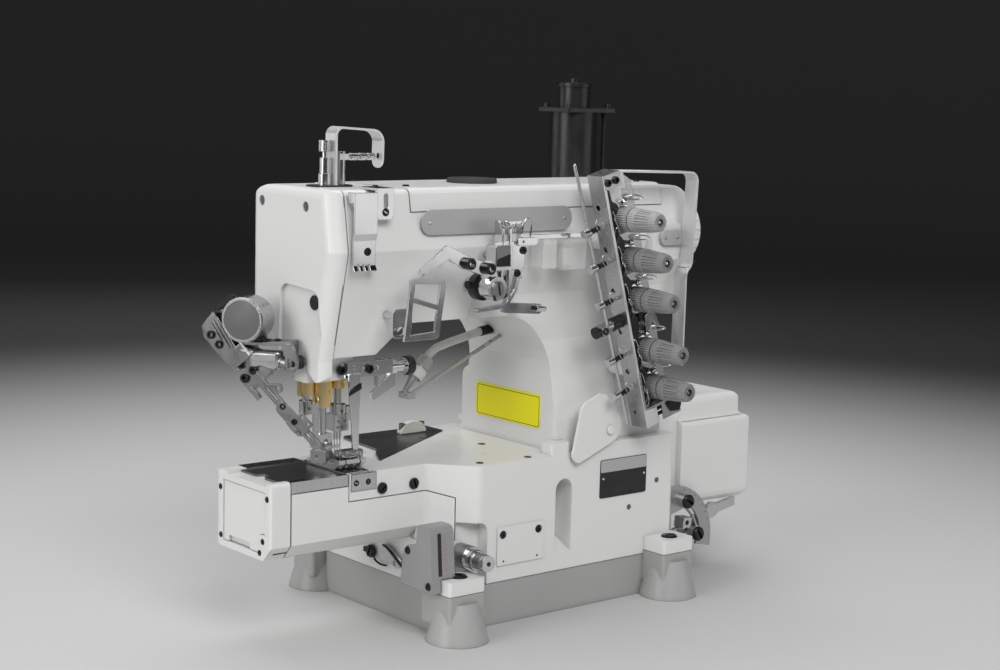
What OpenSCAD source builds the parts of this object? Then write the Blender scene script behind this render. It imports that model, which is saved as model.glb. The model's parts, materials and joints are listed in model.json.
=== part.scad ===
// Cylinder-bed coverstitch sewing machine head, in millimetres.
// The arm runs along X with the needle end at -X, the operator stands at -Y,
// and Z is up from the flat underside of the base pan.

/* [Base and bed] */
// Length of the base along the arm
base_len = 270; // [250:1:290]
// Depth of the base, front to back
base_depth = 180; // [170:1:190]
// Height of the seam between the base pan and the bed casting
pan_h = 38; // [30:1:40]
// Height of the sewing surface
bed_h = 141.5; // [138:0.5:146]
// Height of the step at the right of the bed
deck_h = 147; // [144:0.5:150]
// Left end of the cylinder bed
bed_end_x = -282; // [-300:1:-270]
// Front of the cylinder bed
bed_front_y = -55.5; // [-60:0.5:-50]
// Back of the cylinder bed
bed_back_y = 26; // [24:0.5:28]
// Underside of the cylinder bed
bed_low_z = 77; // [72:1:82]

/* [Arm] */
// Left face of the face cover
face_x = -239; // [-242:1:-236]
// Depth of the face cover along the arm
face_t = 15; // [13:1:17]
// Right end of the arm
arm_right_x = 162; // [155:1:170]
// Height of the arm's top
arm_top_z = 375.5; // [372:0.5:380]
// Underside of the arm over the throat
arm_low_z = 264; // [258:1:270]
// Front of the arm at its crease
arm_front_y = -76; // [-80:1:-72]
// Back of the arm
arm_back_y = 45; // [42:1:48]
// Height of the crease along the arm's front
crease_z = 326; // [316:1:336]
// Wall thickness of the castings
wall = 6; // [5:0.5:8]
// Left face of the column
column_x = -2; // [-6:1:4]
// Right face of the column
column_right_x = 123; // [116:1:128]

/* [Needle bar and presser bar] */
// Needle bar position along the arm
needle_x = -195; // [-197:0.5:-194]
// Needle bar and upper shaft position, front to back
needle_y = -21; // [-23:0.5:-19]
// Needle bar diameter
needle_bar_d = 7.2; // [6:0.1:8]
// Presser bar diameter
presser_bar_d = 8; // [7:0.1:9]
// Distance between the needle, presser and spreader axes
head_pitch = 16; // [15.8:0.1:16.2]
// Distance between neighbouring needles
needle_gauge = 2.8; // [2.4:0.1:3.2]

/* [Drive] */
// Height of the upper shaft
upper_shaft_z = 328; // [322:1:332]
// Height of the lower shaft
lower_shaft_z = 108; // [104:1:110]
// Shaft diameter
shaft_d = 15; // [12:0.5:18]
// Handwheel diameter
handwheel_d = 68; // [60:1:74]
// Crank radius, half of the needle stroke
crank_r = 15.5; // [12:0.5:17]

/* [Thread tension] */
// Tilt of the tension bracket from upright, in degrees
tension_tilt = 16; // [14:0.5:18]
// Length of a tension knob
knob_len = 46; // [40:1:48]
// Diameter of a tension knob's skirt
knob_d = 22.4; // [20:0.2:24]
// Depth of the tension bracket's side wall
bracket_depth = 19; // [17:1:21]

/* [Foot lifting and thread wiper] */
// Diameter of the foot lifting solenoid
solenoid_d = 46; // [42:1:48]
// Diameter of the thread wiper solenoid
wiper_d = 37; // [34:1:38]
// Turn of the wiper's plane about the vertical, in degrees
wiper_turn = 58; // [54:1:62]

/* [Hidden] */
$fn = 48;

// Half sizes of the base, and the common gap between separate castings
half_len = base_len / 2;
half_depth = base_depth / 2;
gap = 0.8;
seam_x = face_x + face_t;
presser_x = needle_x - head_pitch;
spreader_x = needle_x - 2 * head_pitch;
belt_x = 62;
pulley_d = 40;
lower_shaft_y = -3;
// Heights of the tension posts down the bracket, and their distance from its side wall
post_drop = [43, 80, 117, 165, 200];
post_side = 23;
bracket_top = [11, 383];
// Height where the base's corner turns square, and the seam over the front cover
waist_z = 76;
cover_top_z = 118.7;
// Bends between the cylinder bed and the base's front, seen from above
bend_x = [-127, -96];
bend_r = 10;
slant = atan2(half_depth + bed_front_y, bend_x[1] - bend_x[0]);
bend_run = bend_r * tan(slant / 2);
// Corners of the needle plate on the cylinder bed
plate_left = -207;
plate_right = -183;
// Axis of the foot lifter's shaft along the arm, and of the take-up shaft
lifter_y = 20;
lifter_z = 300;
take_up_x = -96;
take_up_z = 294;
solenoid_x = 142;
solenoid_y = 72;

// Solids drawn from a profile: along X the profile is (y, z), along Y it is (x, z), along Z (x, y)
module along_x(x0, x1) {
    translate([x0, 0, 0]) rotate([90, 0, 90]) linear_extrude(x1 - x0) children();
}
module along_y(y0, y1) {
    translate([0, y1, 0]) rotate([90, 0, 0]) linear_extrude(y1 - y0) children();
}
module along_z(z0, z1) {
    translate([0, 0, z0]) linear_extrude(z1 - z0) children();
}
module bar_x(x0, x1, y, z, d) {
    translate([x0, y, z]) rotate([0, 90, 0]) cylinder(d = d, h = x1 - x0);
}
module bar_y(y0, y1, x, z, d) {
    translate([x, y1, z]) rotate([90, 0, 0]) cylinder(d = d, h = y1 - y0);
}
module bar_z(z0, z1, x, y, d) {
    translate([x, y, z0]) cylinder(d = d, h = z1 - z0);
}
module block(low, high) {
    translate(low) cube(high - low);
}

// Points of an arc, and of a rectangle whose four corners have their own radii
function arc(cx, cy, r, a0, a1, n = 6) =
    [for (i = [0 : n]) let (a = a0 + (a1 - a0) * i / n) [cx + r * cos(a), cy + r * sin(a)]];
function round_box(x0, y0, x1, y1, r) = concat(
    arc(x0 + r[0], y0 + r[0], r[0], 180, 270),
    arc(x1 - r[1], y0 + r[1], r[1], 270, 360),
    arc(x1 - r[2], y1 - r[2], r[2], 0, 90),
    arc(x0 + r[3], y1 - r[3], r[3], 90, 180));
function even(r) = [r, r, r, r];
// Outline of a strap with round ends between two points
function strap(p, q, w) = let (a = atan2(q[1] - p[1], q[0] - p[0])) concat(
    arc(p[0], p[1], w / 2, a + 90, a + 270), arc(q[0], q[1], w / 2, a - 90, a + 90));
// A round wire along X and Z in the plane y, through every point
module wire(points, y, d) {
    for (i = [0 : len(points) - 2]) {
        p = points[i];
        q = points[i + 1];
        run = [q[0] - p[0], q[1] - p[1]];
        translate([p[0], y, p[1]]) rotate([0, atan2(run[0], run[1]), 0]) cylinder(d = d, h = norm(run), $fn = 24);
        translate([p[0], y, p[1]]) sphere(d = d + 0.1, $fn = 24);
    }
}
// A bent strip of thickness t through every point of the (x, z) line, w wide from y
module strip(points, y, w, t) {
    for (i = [0 : len(points) - 2]) along_y(y, y + w) polygon(strap(points[i], points[i + 1], t));
}

// ---- Castings of the base and bed ----

module bed_casting() {
    color("gainsboro") difference() {
        union() {
            // body of the base, its square lower part, and its raised right end
            along_z(waist_z, bed_h) polygon(base_outline(0));
            along_z(pan_h, waist_z) polygon(round_box(-half_len, -half_depth, half_len, half_depth, [5, 5, 14, 14]));
            along_z(bed_h - 1, deck_h) polygon(round_box(21, -half_depth, half_len, half_depth, [3, 5, 14, 3]));
            along_z(bed_h - 1, deck_h + 5) polygon(round_box(-16, -half_depth, 5, -half_depth + 15, even(2)));
            // cylinder bed, chamfered along its lower front edge
            along_x(bed_end_x + 19.2, -half_len + 1) polygon(bed_section(0, 0));
            lugs(41.7, 54);
        }
        // mechanism space inside the base, open underneath over the pan, with two webs for the lower shaft
        difference() {
            along_z(pan_h - 1, bed_h - 12) polygon(round_box(-half_len + wall, -half_depth + wall,
                half_len - wall, half_depth - wall, even(10)));
            for (x = [-100, 20]) block([x, lower_shaft_y - 16, lower_shaft_z - 16], [x + 12, lower_shaft_y + 16, bed_h]);
            // thick places behind the recesses of the front wall
            block([-20, -half_depth, 30], [20, -half_depth + 30, 130]);
            block([-130, -half_depth, 30], [-78, -half_depth + 18, bed_h]);
            along_z(30, bed_h) polygon([[-130, -half_depth], [-78, -half_depth], [-78, -78], [-114, -40], [-130, -40]]);
        }
        // looper space along the cylinder, open at its end, and the stepped opening of the front cover
        block([bed_end_x + 15, bed_front_y + 5, bed_low_z + 5], [-100, bed_back_y - 5, 128]);
        block([bed_end_x + 15, bed_front_y - 1, bed_low_z - 1], [-206, bed_front_y + 11, 132]);
        block([-207, bed_front_y - 1, bed_low_z - 1], [-133, bed_front_y + 11, cover_top_z]);
        cover_skin(3.4, 0);
        block([-204.5, bed_front_y - 1, 126], [-178.5, bed_front_y + 6, 142]);
        // seat of the slide plate and needle plate
        block([bed_end_x + 15, bed_front_y - 1, 131.9], [-206, bed_back_y + 1, bed_h + 1]);
        block([-208, -50.5, 131.9], [plate_right + gap, 12.5, bed_h + 1]);
        block([-208, -46, 118], [-101, 4, 133]);
        // recess round the differential stub, and the arched recess with its sloping floor
        intersection() {
            along_y(-half_depth - 1, -60) polygon(round_box(-120, pan_h - 1, -86.5, 92, [0.1, 0.1, 8, 0.1]));
            along_z(pan_h - 1, 92.1) polygon([[-118, -91], [-109.4, -75.2], [-106.9, -72.6], [-86.5, -78], [-86.5, -91]]);
        }
        block([-half_len - 1, -half_depth - 1, pan_h - 1], [-109, -half_depth + 12, waist_z]);
        intersection() {
            along_y(-half_depth - 1, -half_depth + 24)
                polygon(concat([[-10, 50], [9, 50]], arc(-0.5, 110, 9.5, 0, 180, 10)));
            along_x(-12, 12) polygon([[-half_depth - 1, 53.6], [-half_depth + 24, 64.7],
                [-half_depth + 24, 130], [-half_depth - 1, 130]]);
        }
        bar_y(-125, -half_depth + 5, -108, 65, 21);
        // dark triangle behind the needle plate where the cloth wing sits
        along_z(bed_h - 3, bed_h + 1) polygon([[-154, -26], [24, 82], [24, 91], [-136, 91], [-136, 21], [-154, 21]]);
        // drilled and tapped holes of the deck
        for (p = [[-87, -78], [-36, -81], [-34, -15], [2, -82], [-60, -50]])
            translate([p[0], p[1], bed_h - 9]) cylinder(d = 4.2, h = 10);
        // belt way up into the column, and bores of the lower shaft and of the lug bolts
        along_z(100, 200) polygon(round_box(belt_x - 20, -50, belt_x + 24, 24, even(6)));
        bar_x(-110, half_len + 1, lower_shaft_y, lower_shaft_z, shaft_d + 0.1);
        for (p = lug_centres()) translate([p[0], p[1], 30]) cylinder(d = 9, h = 30);
    }
}

// Outline of the base from above, inset by m: its front runs out to the cylinder bed in two soft bends
function base_outline(m) = concat([[-half_len + m / 9, bed_front_y + m]],
    arc(bend_x[0] - bend_run, bed_front_y - bend_r, bend_r + m, 90, 90 - slant, 5),
    arc(bend_x[1] + bend_run, -half_depth + bend_r, bend_r - m, 270 - slant, 270, 5),
    arc(half_len - 5, -half_depth + 5, 5 - m, 270, 360), arc(half_len - 14, half_depth - 14, 14 - m, 0, 90),
    arc(14 - half_len, half_depth - 14, 14 - m, 90, 180));
// Lower part of the slanted corner as a skin t thick, its end and top set back by e
module cover_skin(t, e) {
    intersection() {
        along_z(waist_z, cover_top_z) difference() {
            polygon(base_outline(e > 0 ? 0 : -1));
            polygon(base_outline(t));
            polygon([[-139, 91], [-139, -52.4], [-128, -50], [-103.7 - 0.67 * e, -69.6 + 0.74 * e],
                [-124.5 - 0.67 * e, -88.3 + 0.74 * e], [-124.5, -99], [139, -99], [139, 91]]);
        }
        along_y(-100, 0) polygon([[-half_len, waist_z + e], [-half_len, cover_top_z - e],
            [bend_x[0], cover_top_z - e], [bend_x[0] + 26, cover_top_z - 7.8 - e], [bend_x[0] + 26, waist_z + e]]);
    }
}

// Cross-section of the cylinder bed as (y, z), inset by m on its front and lowered by t at its top
function bed_section(m, t) = [[bed_front_y + m, bed_h - t], [bed_front_y + m, bed_low_z + 12],
    [bed_front_y + 11 + m, bed_low_z + m / 3], [bed_back_y - 4, bed_low_z + m / 3], [bed_back_y, bed_low_z + 4],
    [bed_back_y, bed_h - t]];

function lug_centres() = [[-128, -104], [118, -104], [118, 104], [-128, 104]];
module lugs(z0, z1) {
    for (p = lug_centres()) {
        side = p[1] > 0 ? 1 : -1;
        near = side * (p[0] < 0 && side < 0 ? half_depth - 13 : half_depth - 5);
        far = side * (half_depth + 27);
        along_z(z0, z1) polygon(round_box(p[0] - 19, min(near, far), p[0] + 19, max(near, far), even(3)));
    }
}

module base_pan() {
    color("darkgray") difference() {
        union() {
            along_z(0, pan_h - 0.6)
                polygon(round_box(-half_len + 1, -half_depth + 1, half_len - 1, half_depth - 1, even(10)));
            // a square ear over a flared round foot at each corner
            lugs(14, 41.2);
            for (p = lug_centres()) translate([p[0], p[1], 0]) cylinder(d1 = 54, d2 = 34, h = 34);
        }
        block([-half_len - 0.3, -half_depth - 0.3, pan_h - 0.6], [half_len + 0.3, half_depth + 0.3, 60]);
        along_z(5, pan_h + 1)
            polygon(round_box(-half_len + 22, -half_depth + 22, half_len - 22, half_depth - 22, even(10)));
        for (p = lug_centres()) translate([p[0], p[1], -1]) cylinder(d = 9, h = 50);
        for (p = lug_centres()) translate([p[0], p[1], -1]) cylinder(d = 26, h = 13);
    }
}

module access_cover() {
    color("gainsboro") difference() {
        along_y(-half_depth - 1.2, -half_depth - 0.05) polygon(round_box(-76, 52, -24, 86, even(1)));
        for (x = [-70, -30]) bar_y(-half_depth - 2, -half_depth + 1, x, 79, 4.4);
    }
}

module swing_guard() {
    outline = concat(arc(12, 141, 8, 150, 270), arc(46, 162, 14.5, 290, 395), arc(36, 184, 9, 30, 100),
        [[17, 186], [13, 181]]);
    color("whitesmoke") {
        along_y(-95.8, -92.7) polygon(outline);
        bar_y(-97, -66, 47, 159.5, 8);
    }
}

// ---- Arm, column and their covers ----

// Profiles of the arm seen along X, as (y, z). m insets every wall.
function arm_crown(m) = concat(arc(arm_back_y - 24, arm_top_z - 24, 24 - m, 0, 90),
    arc(arm_front_y + 14, arm_top_z - 7, 7 - m, 90, 180, 4));
module head_profile(m = 0) {
    polygon(concat(arm_crown(m), [[arm_front_y + m, crease_z], [arm_front_y + 20 + m, 239 + m],
        [arm_front_y + 22 + m, 200], [arm_back_y - 2 - m, 200], [arm_back_y - m, 300]]));
}
module column_profile(m = 0) {
    polygon(concat(arm_crown(m), [[arm_front_y + m, crease_z], [arm_front_y + 12 + m, 282]],
        [[arm_front_y + 12 + m, 240], [arm_front_y + 6 + m, 205], [arm_front_y - 1 + m, 170]],
        [[arm_front_y - 4 + m, deck_h - 10], [arm_back_y + 10 - m, deck_h - 10]],
        arc(arm_back_y - m, 192, 10, 0, 80, 4), [[arm_back_y - m, 210], [arm_back_y - m, 300]]));
}
// Outline of the arm and column seen from the front, as (x, z)
module arm_outline(m = 0) {
    polygon(concat(
        [[seam_x - min(m, 1), arm_top_z - m], [seam_x - min(m, 1), 239 + m]],
        arc(-184, 244 + m, 5, 270, 330, 3), arc(-152, 254 + m, 10 + m, 150, 90, 4),
        [[-150, arm_low_z + m]],
        arc(column_x - 52, arm_low_z - 52, 52 + m, 90, 0, 10),
        [[column_x + m, bed_h - 5], [column_right_x - m, bed_h - 5]],
        arc(column_right_x + 24, 246, 24 + m, 180, 90, 6),
        arc(arm_right_x - 12, 282, 12 - m, 270, 360, 4),
        arc(arm_right_x - 22, arm_top_z - 24, 22 - m, 0, 90, 6)));
}
module arm_form(m = 0) {
    intersection() {
        along_y(-120, 120) arm_outline(m);
        union() {
            along_x(seam_x - 2, -90) head_profile(m);
            along_x(-90.5, 180) column_profile(m);
        }
    }
}

module arm_casting() {
    color("whitesmoke") difference() {
        union() {
            intersection() {
                arm_form();
                // rounded column corners seen from above
                union() {
                    along_z(100, 400) polygon(round_box(column_x, -90, column_right_x, 80, [16, 10, 14, 16]));
                    along_z(204, 400) polygon(round_box(seam_x - 2, -90, arm_right_x, arm_back_y + 1, [0.1, 12, 16, 0.1]));
                }
            }
            // bosses that hold the bar bushes, the shaft boss and the knob guard's pad
            along_z(216, 256) polygon(round_box(-233.2, needle_y - 11, -186, needle_y + 11, even(4)));
            bar_x(arm_right_x - 1, arm_right_x + 7, needle_y, upper_shaft_z, 58);
            along_y(arm_front_y - 6, arm_front_y + 10) polygon(round_box(104, 306, 141, 340, even(5)));
            for (p = [[37.4, 327], [72.7, 211.4]]) bar_y(arm_front_y - 20, arm_front_y + 16, p[0], p[1], 14);
            along_y(arm_back_y - 8, arm_back_y + 3.9) polygon(round_box(110, 322, 152, 366, even(5)));
        }
        difference() {
            arm_form(wall);
            // solid foot, bush bosses and shaft bearings stay
            block([-60, -120, bed_h - 20], [200, 120, deck_h + 12]);
            along_z(200, 256) polygon(round_box(-233.2, needle_y - 11, -186, needle_y + 11, even(4)));
            for (x = [-150, 20, arm_right_x - 20])
                bar_x(x, x + 22, needle_y, upper_shaft_z, shaft_d + 18);
            for (x = [-150, 20, arm_right_x - 20])
                block([x, needle_y - 8, upper_shaft_z - 180], [x + 12, needle_y + 8, upper_shaft_z]);
            block([-233.2, needle_y - 11, arm_top_z - 22], [-180, needle_y + 11, arm_top_z]);
            for (x = [-160, 88]) block([x, lifter_y - 11, lifter_z - 12], [x + 12, 60, lifter_z + 12]);
        }
        // opening under the top cover, and its stepped seat
        block([-160 - gap, -90, 357 - gap], [124 + gap, -64, 400]);
        block([-160 - gap, -90, arm_top_z - 3], [124 + gap, 60, 400]);
        block([-140, -56, arm_top_z - 12], [104, 26, 400]);
        // column shaft way down to the bed, and bores
        along_z(100, deck_h + 14) polygon(round_box(belt_x - 20, -50, belt_x + 24, 24, even(6)));
        bar_x(-160, arm_right_x + 12, needle_y, upper_shaft_z, shaft_d + 0.1);
        bar_z(190, 290, needle_x, needle_y, 13.6);
        bar_z(190, 290, presser_x, needle_y, 15);
        bar_z(190, 290, spreader_x, needle_y, 11);
        bar_z(300, 400, needle_x, needle_y, needle_bar_d + 0.1);
        bar_z(300, 400, presser_x, needle_y, 10);
        bar_y(-100, -60, 47, 159.5, 8.08);
        bar_y(-100, -50, take_up_x, take_up_z, 12.1);
        // deck of the base under the column
        block([-40, -100, 100], [21, 100, bed_h + 0.05]);
        block([20.9, -100, 100], [200, 100, deck_h + 0.05]);
        block([-40, -100, 100], [5.5, -half_depth + 15.5, deck_h + 5.1]);
        // seats of the front guides' pins, and the air jet's rod and hose
        for (p = [[-209, 327], [-192, 358]]) bar_y(-90, -60, p[0], p[1], 6.1);
        for (x = [-82, -66]) bar_y(-90, -60, x, 320, 7.1);
        for (x = [-48, -178]) bar_y(-90, -50, x, x > -100 ? 273.5 : 273, 6.1);
        wire([[-20, 231.6], [5, 243.03]], -6, 3.8);
        bar_x(-20, 6, 4, 241, 8.2);
        // lifter shaft and the slot its lever leaves by
        bar_x(-170, 104, lifter_y, lifter_z, 10.1);
        block([133, lifter_y, 284], [151, 60, 313]);
    }
}

module top_cover() {
    color("whitesmoke") intersection() {
        union() {
            block([-160, -90, arm_top_z - 3 + 0.1], [124, 60, 400]);
            block([-160, -90, 357], [124, -64 - 0.1, 400]);
        }
        along_x(-161, 125) head_profile(-0.8);
    }
}

module cover_plan(m, lean) {
    polygon(concat(arc(face_x + 13, arm_front_y + lean + 13, 13 - m, 180, 270, 8), [[seam_x, arm_front_y + lean + m]],
        [[seam_x, arm_back_y - m]], arc(face_x + 9, arm_back_y - 9, 9 - m / 2, 90, 180, 8)));
}
module cover_form(m = 0) {
    intersection() {
        along_x(face_x + m, seam_x - gap) polygon(concat(arm_crown(m),
            [[arm_front_y + m, crease_z], [arm_front_y + 20 + m, 236]],
            arc(arm_front_y + 27, 226 + m, 7, 180, 290, 5), [[-30, 232 + m]],
            arc(arm_back_y - 22, 254 + m, 18, 270, 350, 5), [[arm_back_y - m, 300]]));
        // rounded corners, whose front one follows the leaning front
        union() {
            along_z(200, 236.1) cover_plan(m, 20);
            hull() {
                along_z(236, 236.1) cover_plan(m, 20);
                along_z(crease_z - 0.1, crease_z) cover_plan(m, 0);
            }
            hull() {
                along_z(crease_z - 0.1, crease_z) cover_plan(m, 0);
                along_z(399.9, 400) cover_plan(m, 12);
            }
        }
        along_y(-120, 120) polygon(concat([[seam_x, 200], [face_x + m, 200]],
            arc(face_x + 7, arm_top_z - 7, 7 - m, 180, 90, 5), [[seam_x, arm_top_z - m]]));
    }
}

module face_cover() {
    color("whitesmoke") difference() {
        cover_form();
        difference() {
            cover_form(4);
            // the pocket's floor stays closed behind its recess
            block([face_x, -56, 230], [face_x + 7.5, 4, 300]);
        }
        // open back over the head and round the bush bosses
        block([seam_x - 1.5, -70, 250], [seam_x + 1, 36, 370]);
        block([-233.7, needle_y - 12, 200], [seam_x + 1, needle_y + 12, 268]);
        // recessed pocket, its oval plug hole, and the screw seats
        along_x(face_x - 1, face_x + 3.2) polygon(concat(arc(-9, 287, 9, 0, 90), arc(-47, 285, 9, 90, 160, 4),
            [[-57, 205], [4, 205]]));
        bar_x(face_x - 2, face_x + 6, -46, 284, 12);
        for (p = [[29, 361.5], [-36, 360.5], [18, 262]]) bar_x(face_x - 1, face_x + 2.4, p[0], p[1], 8.4);
    }
}

module front_bed_cover() {
    x0 = bed_end_x + 19.2 + gap;
    color("gainsboro") cover_skin(3, gap);
    color("gainsboro") intersection() {
        union() {
            block([x0, -90, bed_low_z - 1], [-206 - gap, bed_front_y + 10.6, 131.9 - gap]);
            block([x0, -90, bed_low_z - 1], [-133.4, bed_front_y + 10.6, cover_top_z - gap]);
        }
        along_x(x0, -133.4) difference() {
            polygon([[bed_front_y, bed_h], [bed_front_y, bed_low_z + 12], [bed_front_y + 11, bed_low_z],
                [-30, bed_low_z], [-30, bed_h]]);
            polygon([[bed_front_y + 3, bed_h + 1], [bed_front_y + 3, bed_low_z + 12],
                [bed_front_y + 11, bed_low_z + 4], [-29, bed_low_z + 4], [-29, bed_h + 1]]);
        }
    }
}

module bed_end_cap() {
    x1 = bed_end_x + 19.2 - 0.5;
    color("gainsboro") difference() {
        intersection() {
            along_x(bed_end_x, x1) polygon(concat(
                arc(bed_front_y + 3, bed_h - 3, 3, 90, 180, 3), [[bed_front_y, bed_low_z + 12]],
                [[bed_front_y + 11, bed_low_z]], arc(bed_back_y - 5, bed_low_z + 5, 5, 270, 360, 4),
                arc(bed_back_y - 3, bed_h - 3, 3, 0, 90, 3)));
            along_z(0, 200) polygon(round_box(bed_end_x, bed_front_y, x1 + 6, bed_back_y, [2, 0.1, 0.1, 2]));
        }
        // hollow behind the end wall, seat of the end panel, and the slide plate's way out
        block([bed_end_x + 6, bed_front_y + 5, bed_low_z + 5], [x1 + 1, bed_back_y - 5, 130]);
        end_panel_form(0.6, 1);
        block([bed_end_x - 1, -48.2, bed_h - 2.4], [x1 + 1, 10.2, bed_h + 1]);
        for (p = [[21, 126.5], [-50, 128.8], [20, 86], [-44, 93], [-39.5, 83]])
            bar_x(bed_end_x - 1, bed_end_x + 5, p[0], p[1], 3.2);
    }
}

// The end panel's outline, grown by m, from e in front of the bed's end
module end_panel_form(m, e) {
    along_x(bed_end_x + 0.6 - e * 2, bed_end_x + 4 + m) polygon(concat(
        [[-47 - m, 133 + m], [-47 - m, 98]], arc(-44, 93, 6.5 - m, 100, -40, 6), [[-36 - m, bed_low_z + 6 - m]],
        [[16 + m, bed_low_z + 6 - m], [16 + m, 133 + m]]));
}
module bed_end_panel() {
    color("whitesmoke") difference() {
        end_panel_form(0, 0);
        along_x(bed_end_x - 1, bed_end_x + 3) polygon([[-24, 80], [8, 80], [8, 88], [-24, 88]]);
    }
}

module slide_rails() {
    color("silver") {
        // front rail closes the bed under the slide plate's front edge
        difference() {
            block([bed_end_x + 19.4, bed_front_y + 0.1, 132], [plate_left - 0.4, -44.4, bed_h - 0.2]);
            block([bed_end_x + 10, -48.1, bed_h - 2.3], [-205, -44, bed_h + 1]);
        }
        difference() {
            block([bed_end_x + 19.4, 6.4, 132], [plate_left - 0.4, bed_back_y - 0.1, bed_h - 0.2]);
            block([bed_end_x + 10, 6, bed_h - 2.3], [-205, 10.1, bed_h + 1]);
        }
    }
}

module slide_plate() {
    color("dimgray") difference() {
        block([bed_end_x + 13, -47.8, bed_h - 2.2], [-207.6, 9.8, bed_h - 0.6]);
        // finger notch
        translate([bed_end_x + 13, -19, bed_h - 4]) cylinder(d = 14, h = 5);
    }
}

module needle_plate() {
    color("silver") difference() {
        union() {
            block([plate_left, -50, 132.2], [plate_right, 12, bed_h]);
            block([plate_left + 3, bed_front_y, 126.4], [-179, -49.9, 140.5]);
        }
        // needle slot with three rounded ends, and the slots of the feed dogs
        block([needle_x - 6, needle_y - 1.5, 130], [needle_x + 6, needle_y + 1.5, bed_h + 1]);
        for (y = [-38.5, -9.5]) for (dx = [-7.5, -0.5, 6.5])
            block([needle_x + dx - 2.1, y - 6, 130], [needle_x + dx + 2.1, y + 6, bed_h + 1]);
        block([plate_left - 1, -46, 130], [plate_right + 1, 4, bed_h - 2.5]);
        for (y = [-47.5, 9]) bar_z(130, bed_h + 1, needle_x, y, 3.2);
    }
}

module cloth_wing() {
    color("dimgray") difference() {
        union() {
            along_z(bed_h - 2.6, bed_h - 1) polygon(concat([[-152.4, -24.6], [-30, 49.4], [-20, 60]],
                [[-20, 86]], arc(-110, 78, 8, 90, 170, 4), [[-123, 22], [-134, 8]]));
            // upstand with a rolled clip
            along_z(bed_h - 2, bed_h + 9) polygon(round_box(-68, 60, -40, 66, even(3)));
        }
        bar_z(130, 150, -60, 40, 4.2);
    }
}

// ---- Motor, shafts and belt ----

module motor_form(m) {
    intersection() {
        along_y(-71 + m, 65 - m) polygon(concat([[163 + m, 72 + m], [163 + m, 172 - m]],
            arc(240, 165, 7 - m / 2, 90, 0), arc(251, 154, 4 + m / 2, 180, 270, 3), arc(250, 145, 5, 90, 0, 4),
            arc(245, 78 + m / 2, 10 - m, 0, -90, 4)));
        along_x(150, 260) polygon(concat(arc(-61, 78 + m / 2, 10 - m, 180, 270, 4), arc(55, 78 + m / 2, 10 - m, 270, 360, 4),
            [[65 - m, 172 - m]], arc(-56, 165, 7 - m / 2, 90, 180), arc(-67, 154, 4 + m / 2, 0, -90, 3),
            arc(-66, 145, 5, 90, 180, 4)));
    }
}

module motor_cover() {
    color("whitesmoke") difference() {
        union() {
            motor_form(0);
            // neck that bolts to the end of the base, and the rounded collar round it
            along_x(half_len + 0.05, 141) polygon(round_box(-45, 82, 40, 138, even(8)));
            along_x(139.5, 165) polygon(round_box(-64, 76, 58, 166, even(12)));
        }
        motor_form(3.5);
        bar_x(half_len - 1, 172, lower_shaft_y, lower_shaft_z, 40);
        // cooling slots at the back and underneath
        for (z = [92 : 10 : 142]) block([185, 60, z], [235, 70, z + 4]);
    }
}

module motor_stator() {
    color("dimgray") difference() {
        union() {
            bar_x(176, 226, lower_shaft_y, lower_shaft_z, 58);
            // mounting arms down to the motor cover's wall
            for (a = [45 : 90 : 315]) translate([184, lower_shaft_y, lower_shaft_z]) rotate([a, 0, 0])
                block([0, -4, 20], [34, 4, 30.5]);
        }
        bar_x(175, 227, lower_shaft_y, lower_shaft_z, 41);
    }
}

// Motor shaft with its rotor and the toothed belt pulley
module lower_shaft() {
    color("silver") difference() {
        union() {
            bar_x(-104, 240, lower_shaft_y, lower_shaft_z, shaft_d);
            bar_x(178, 224, lower_shaft_y, lower_shaft_z, 40);
            pulley(lower_shaft_y, lower_shaft_z);
        }
        bar_x(232, 241, lower_shaft_y, lower_shaft_z, 5);
    }
}

// Toothed pulley with two flanges
module pulley(y, z) {
    difference() {
        bar_x(belt_x - 9, belt_x + 9, y, z, pulley_d - 3);
        for (i = [0 : 17]) translate([belt_x - 7, y, z]) rotate([i * 20, 0, 0])
            translate([0, 0, pulley_d / 2 - 2]) rotate([0, 90, 0]) cylinder(d = 2.2, h = 14, $fn = 16);
    }
    for (x = [belt_x - 9, belt_x + 7]) bar_x(x, x + 2, y, z, pulley_d + 3);
}

module belt_loop(d, w) {
    rise = upper_shaft_z - lower_shaft_z;
    lean = atan2(needle_y - lower_shaft_y, rise);
    span = sqrt(rise * rise + (needle_y - lower_shaft_y) * (needle_y - lower_shaft_y));
    translate([belt_x - w / 2, lower_shaft_y, lower_shaft_z]) rotate([-lean, 0, 0]) {
        rotate([0, 90, 0]) cylinder(d = d, h = w);
        translate([0, 0, span]) rotate([0, 90, 0]) cylinder(d = d, h = w);
        block([0, -d / 2, 0], [w, d / 2, span]);
    }
}
module timing_belt() {
    color("darkslategray") difference() {
        belt_loop(pulley_d + 1, 13);
        belt_loop(pulley_d - 2.4, 14);
    }
}

// Upper shaft with its pulley
module upper_shaft() {
    color("silver") {
        bar_x(-165, 206, needle_y, upper_shaft_z, shaft_d);
        pulley(needle_y, upper_shaft_z);
    }
}

module handwheel() {
    color("whitesmoke") translate([172, needle_y, upper_shaft_z]) rotate([0, 90, 0]) difference() {
        rotate_extrude() polygon(concat([[shaft_d / 2, 0], [handwheel_d / 2 - 5, 0]],
            arc(handwheel_d / 2 - 4, 5, 4, 270, 360, 4), arc(handwheel_d / 2 - 4, 20, 4, 0, 70, 4),
            [[handwheel_d / 2 - 9, 27], [handwheel_d / 2 - 12, 29], [handwheel_d / 2 - 14, 24], [17, 22]],
            [[14, 31], [shaft_d / 2, 31]]));
        // grip flutes round the rim
        for (i = [0 : 23]) rotate([0, 0, i * 15]) translate([handwheel_d / 2 + 1, 0, 3.5])
            cylinder(d = 4.6, h = 19, $fn = 16);
    }
}

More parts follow.
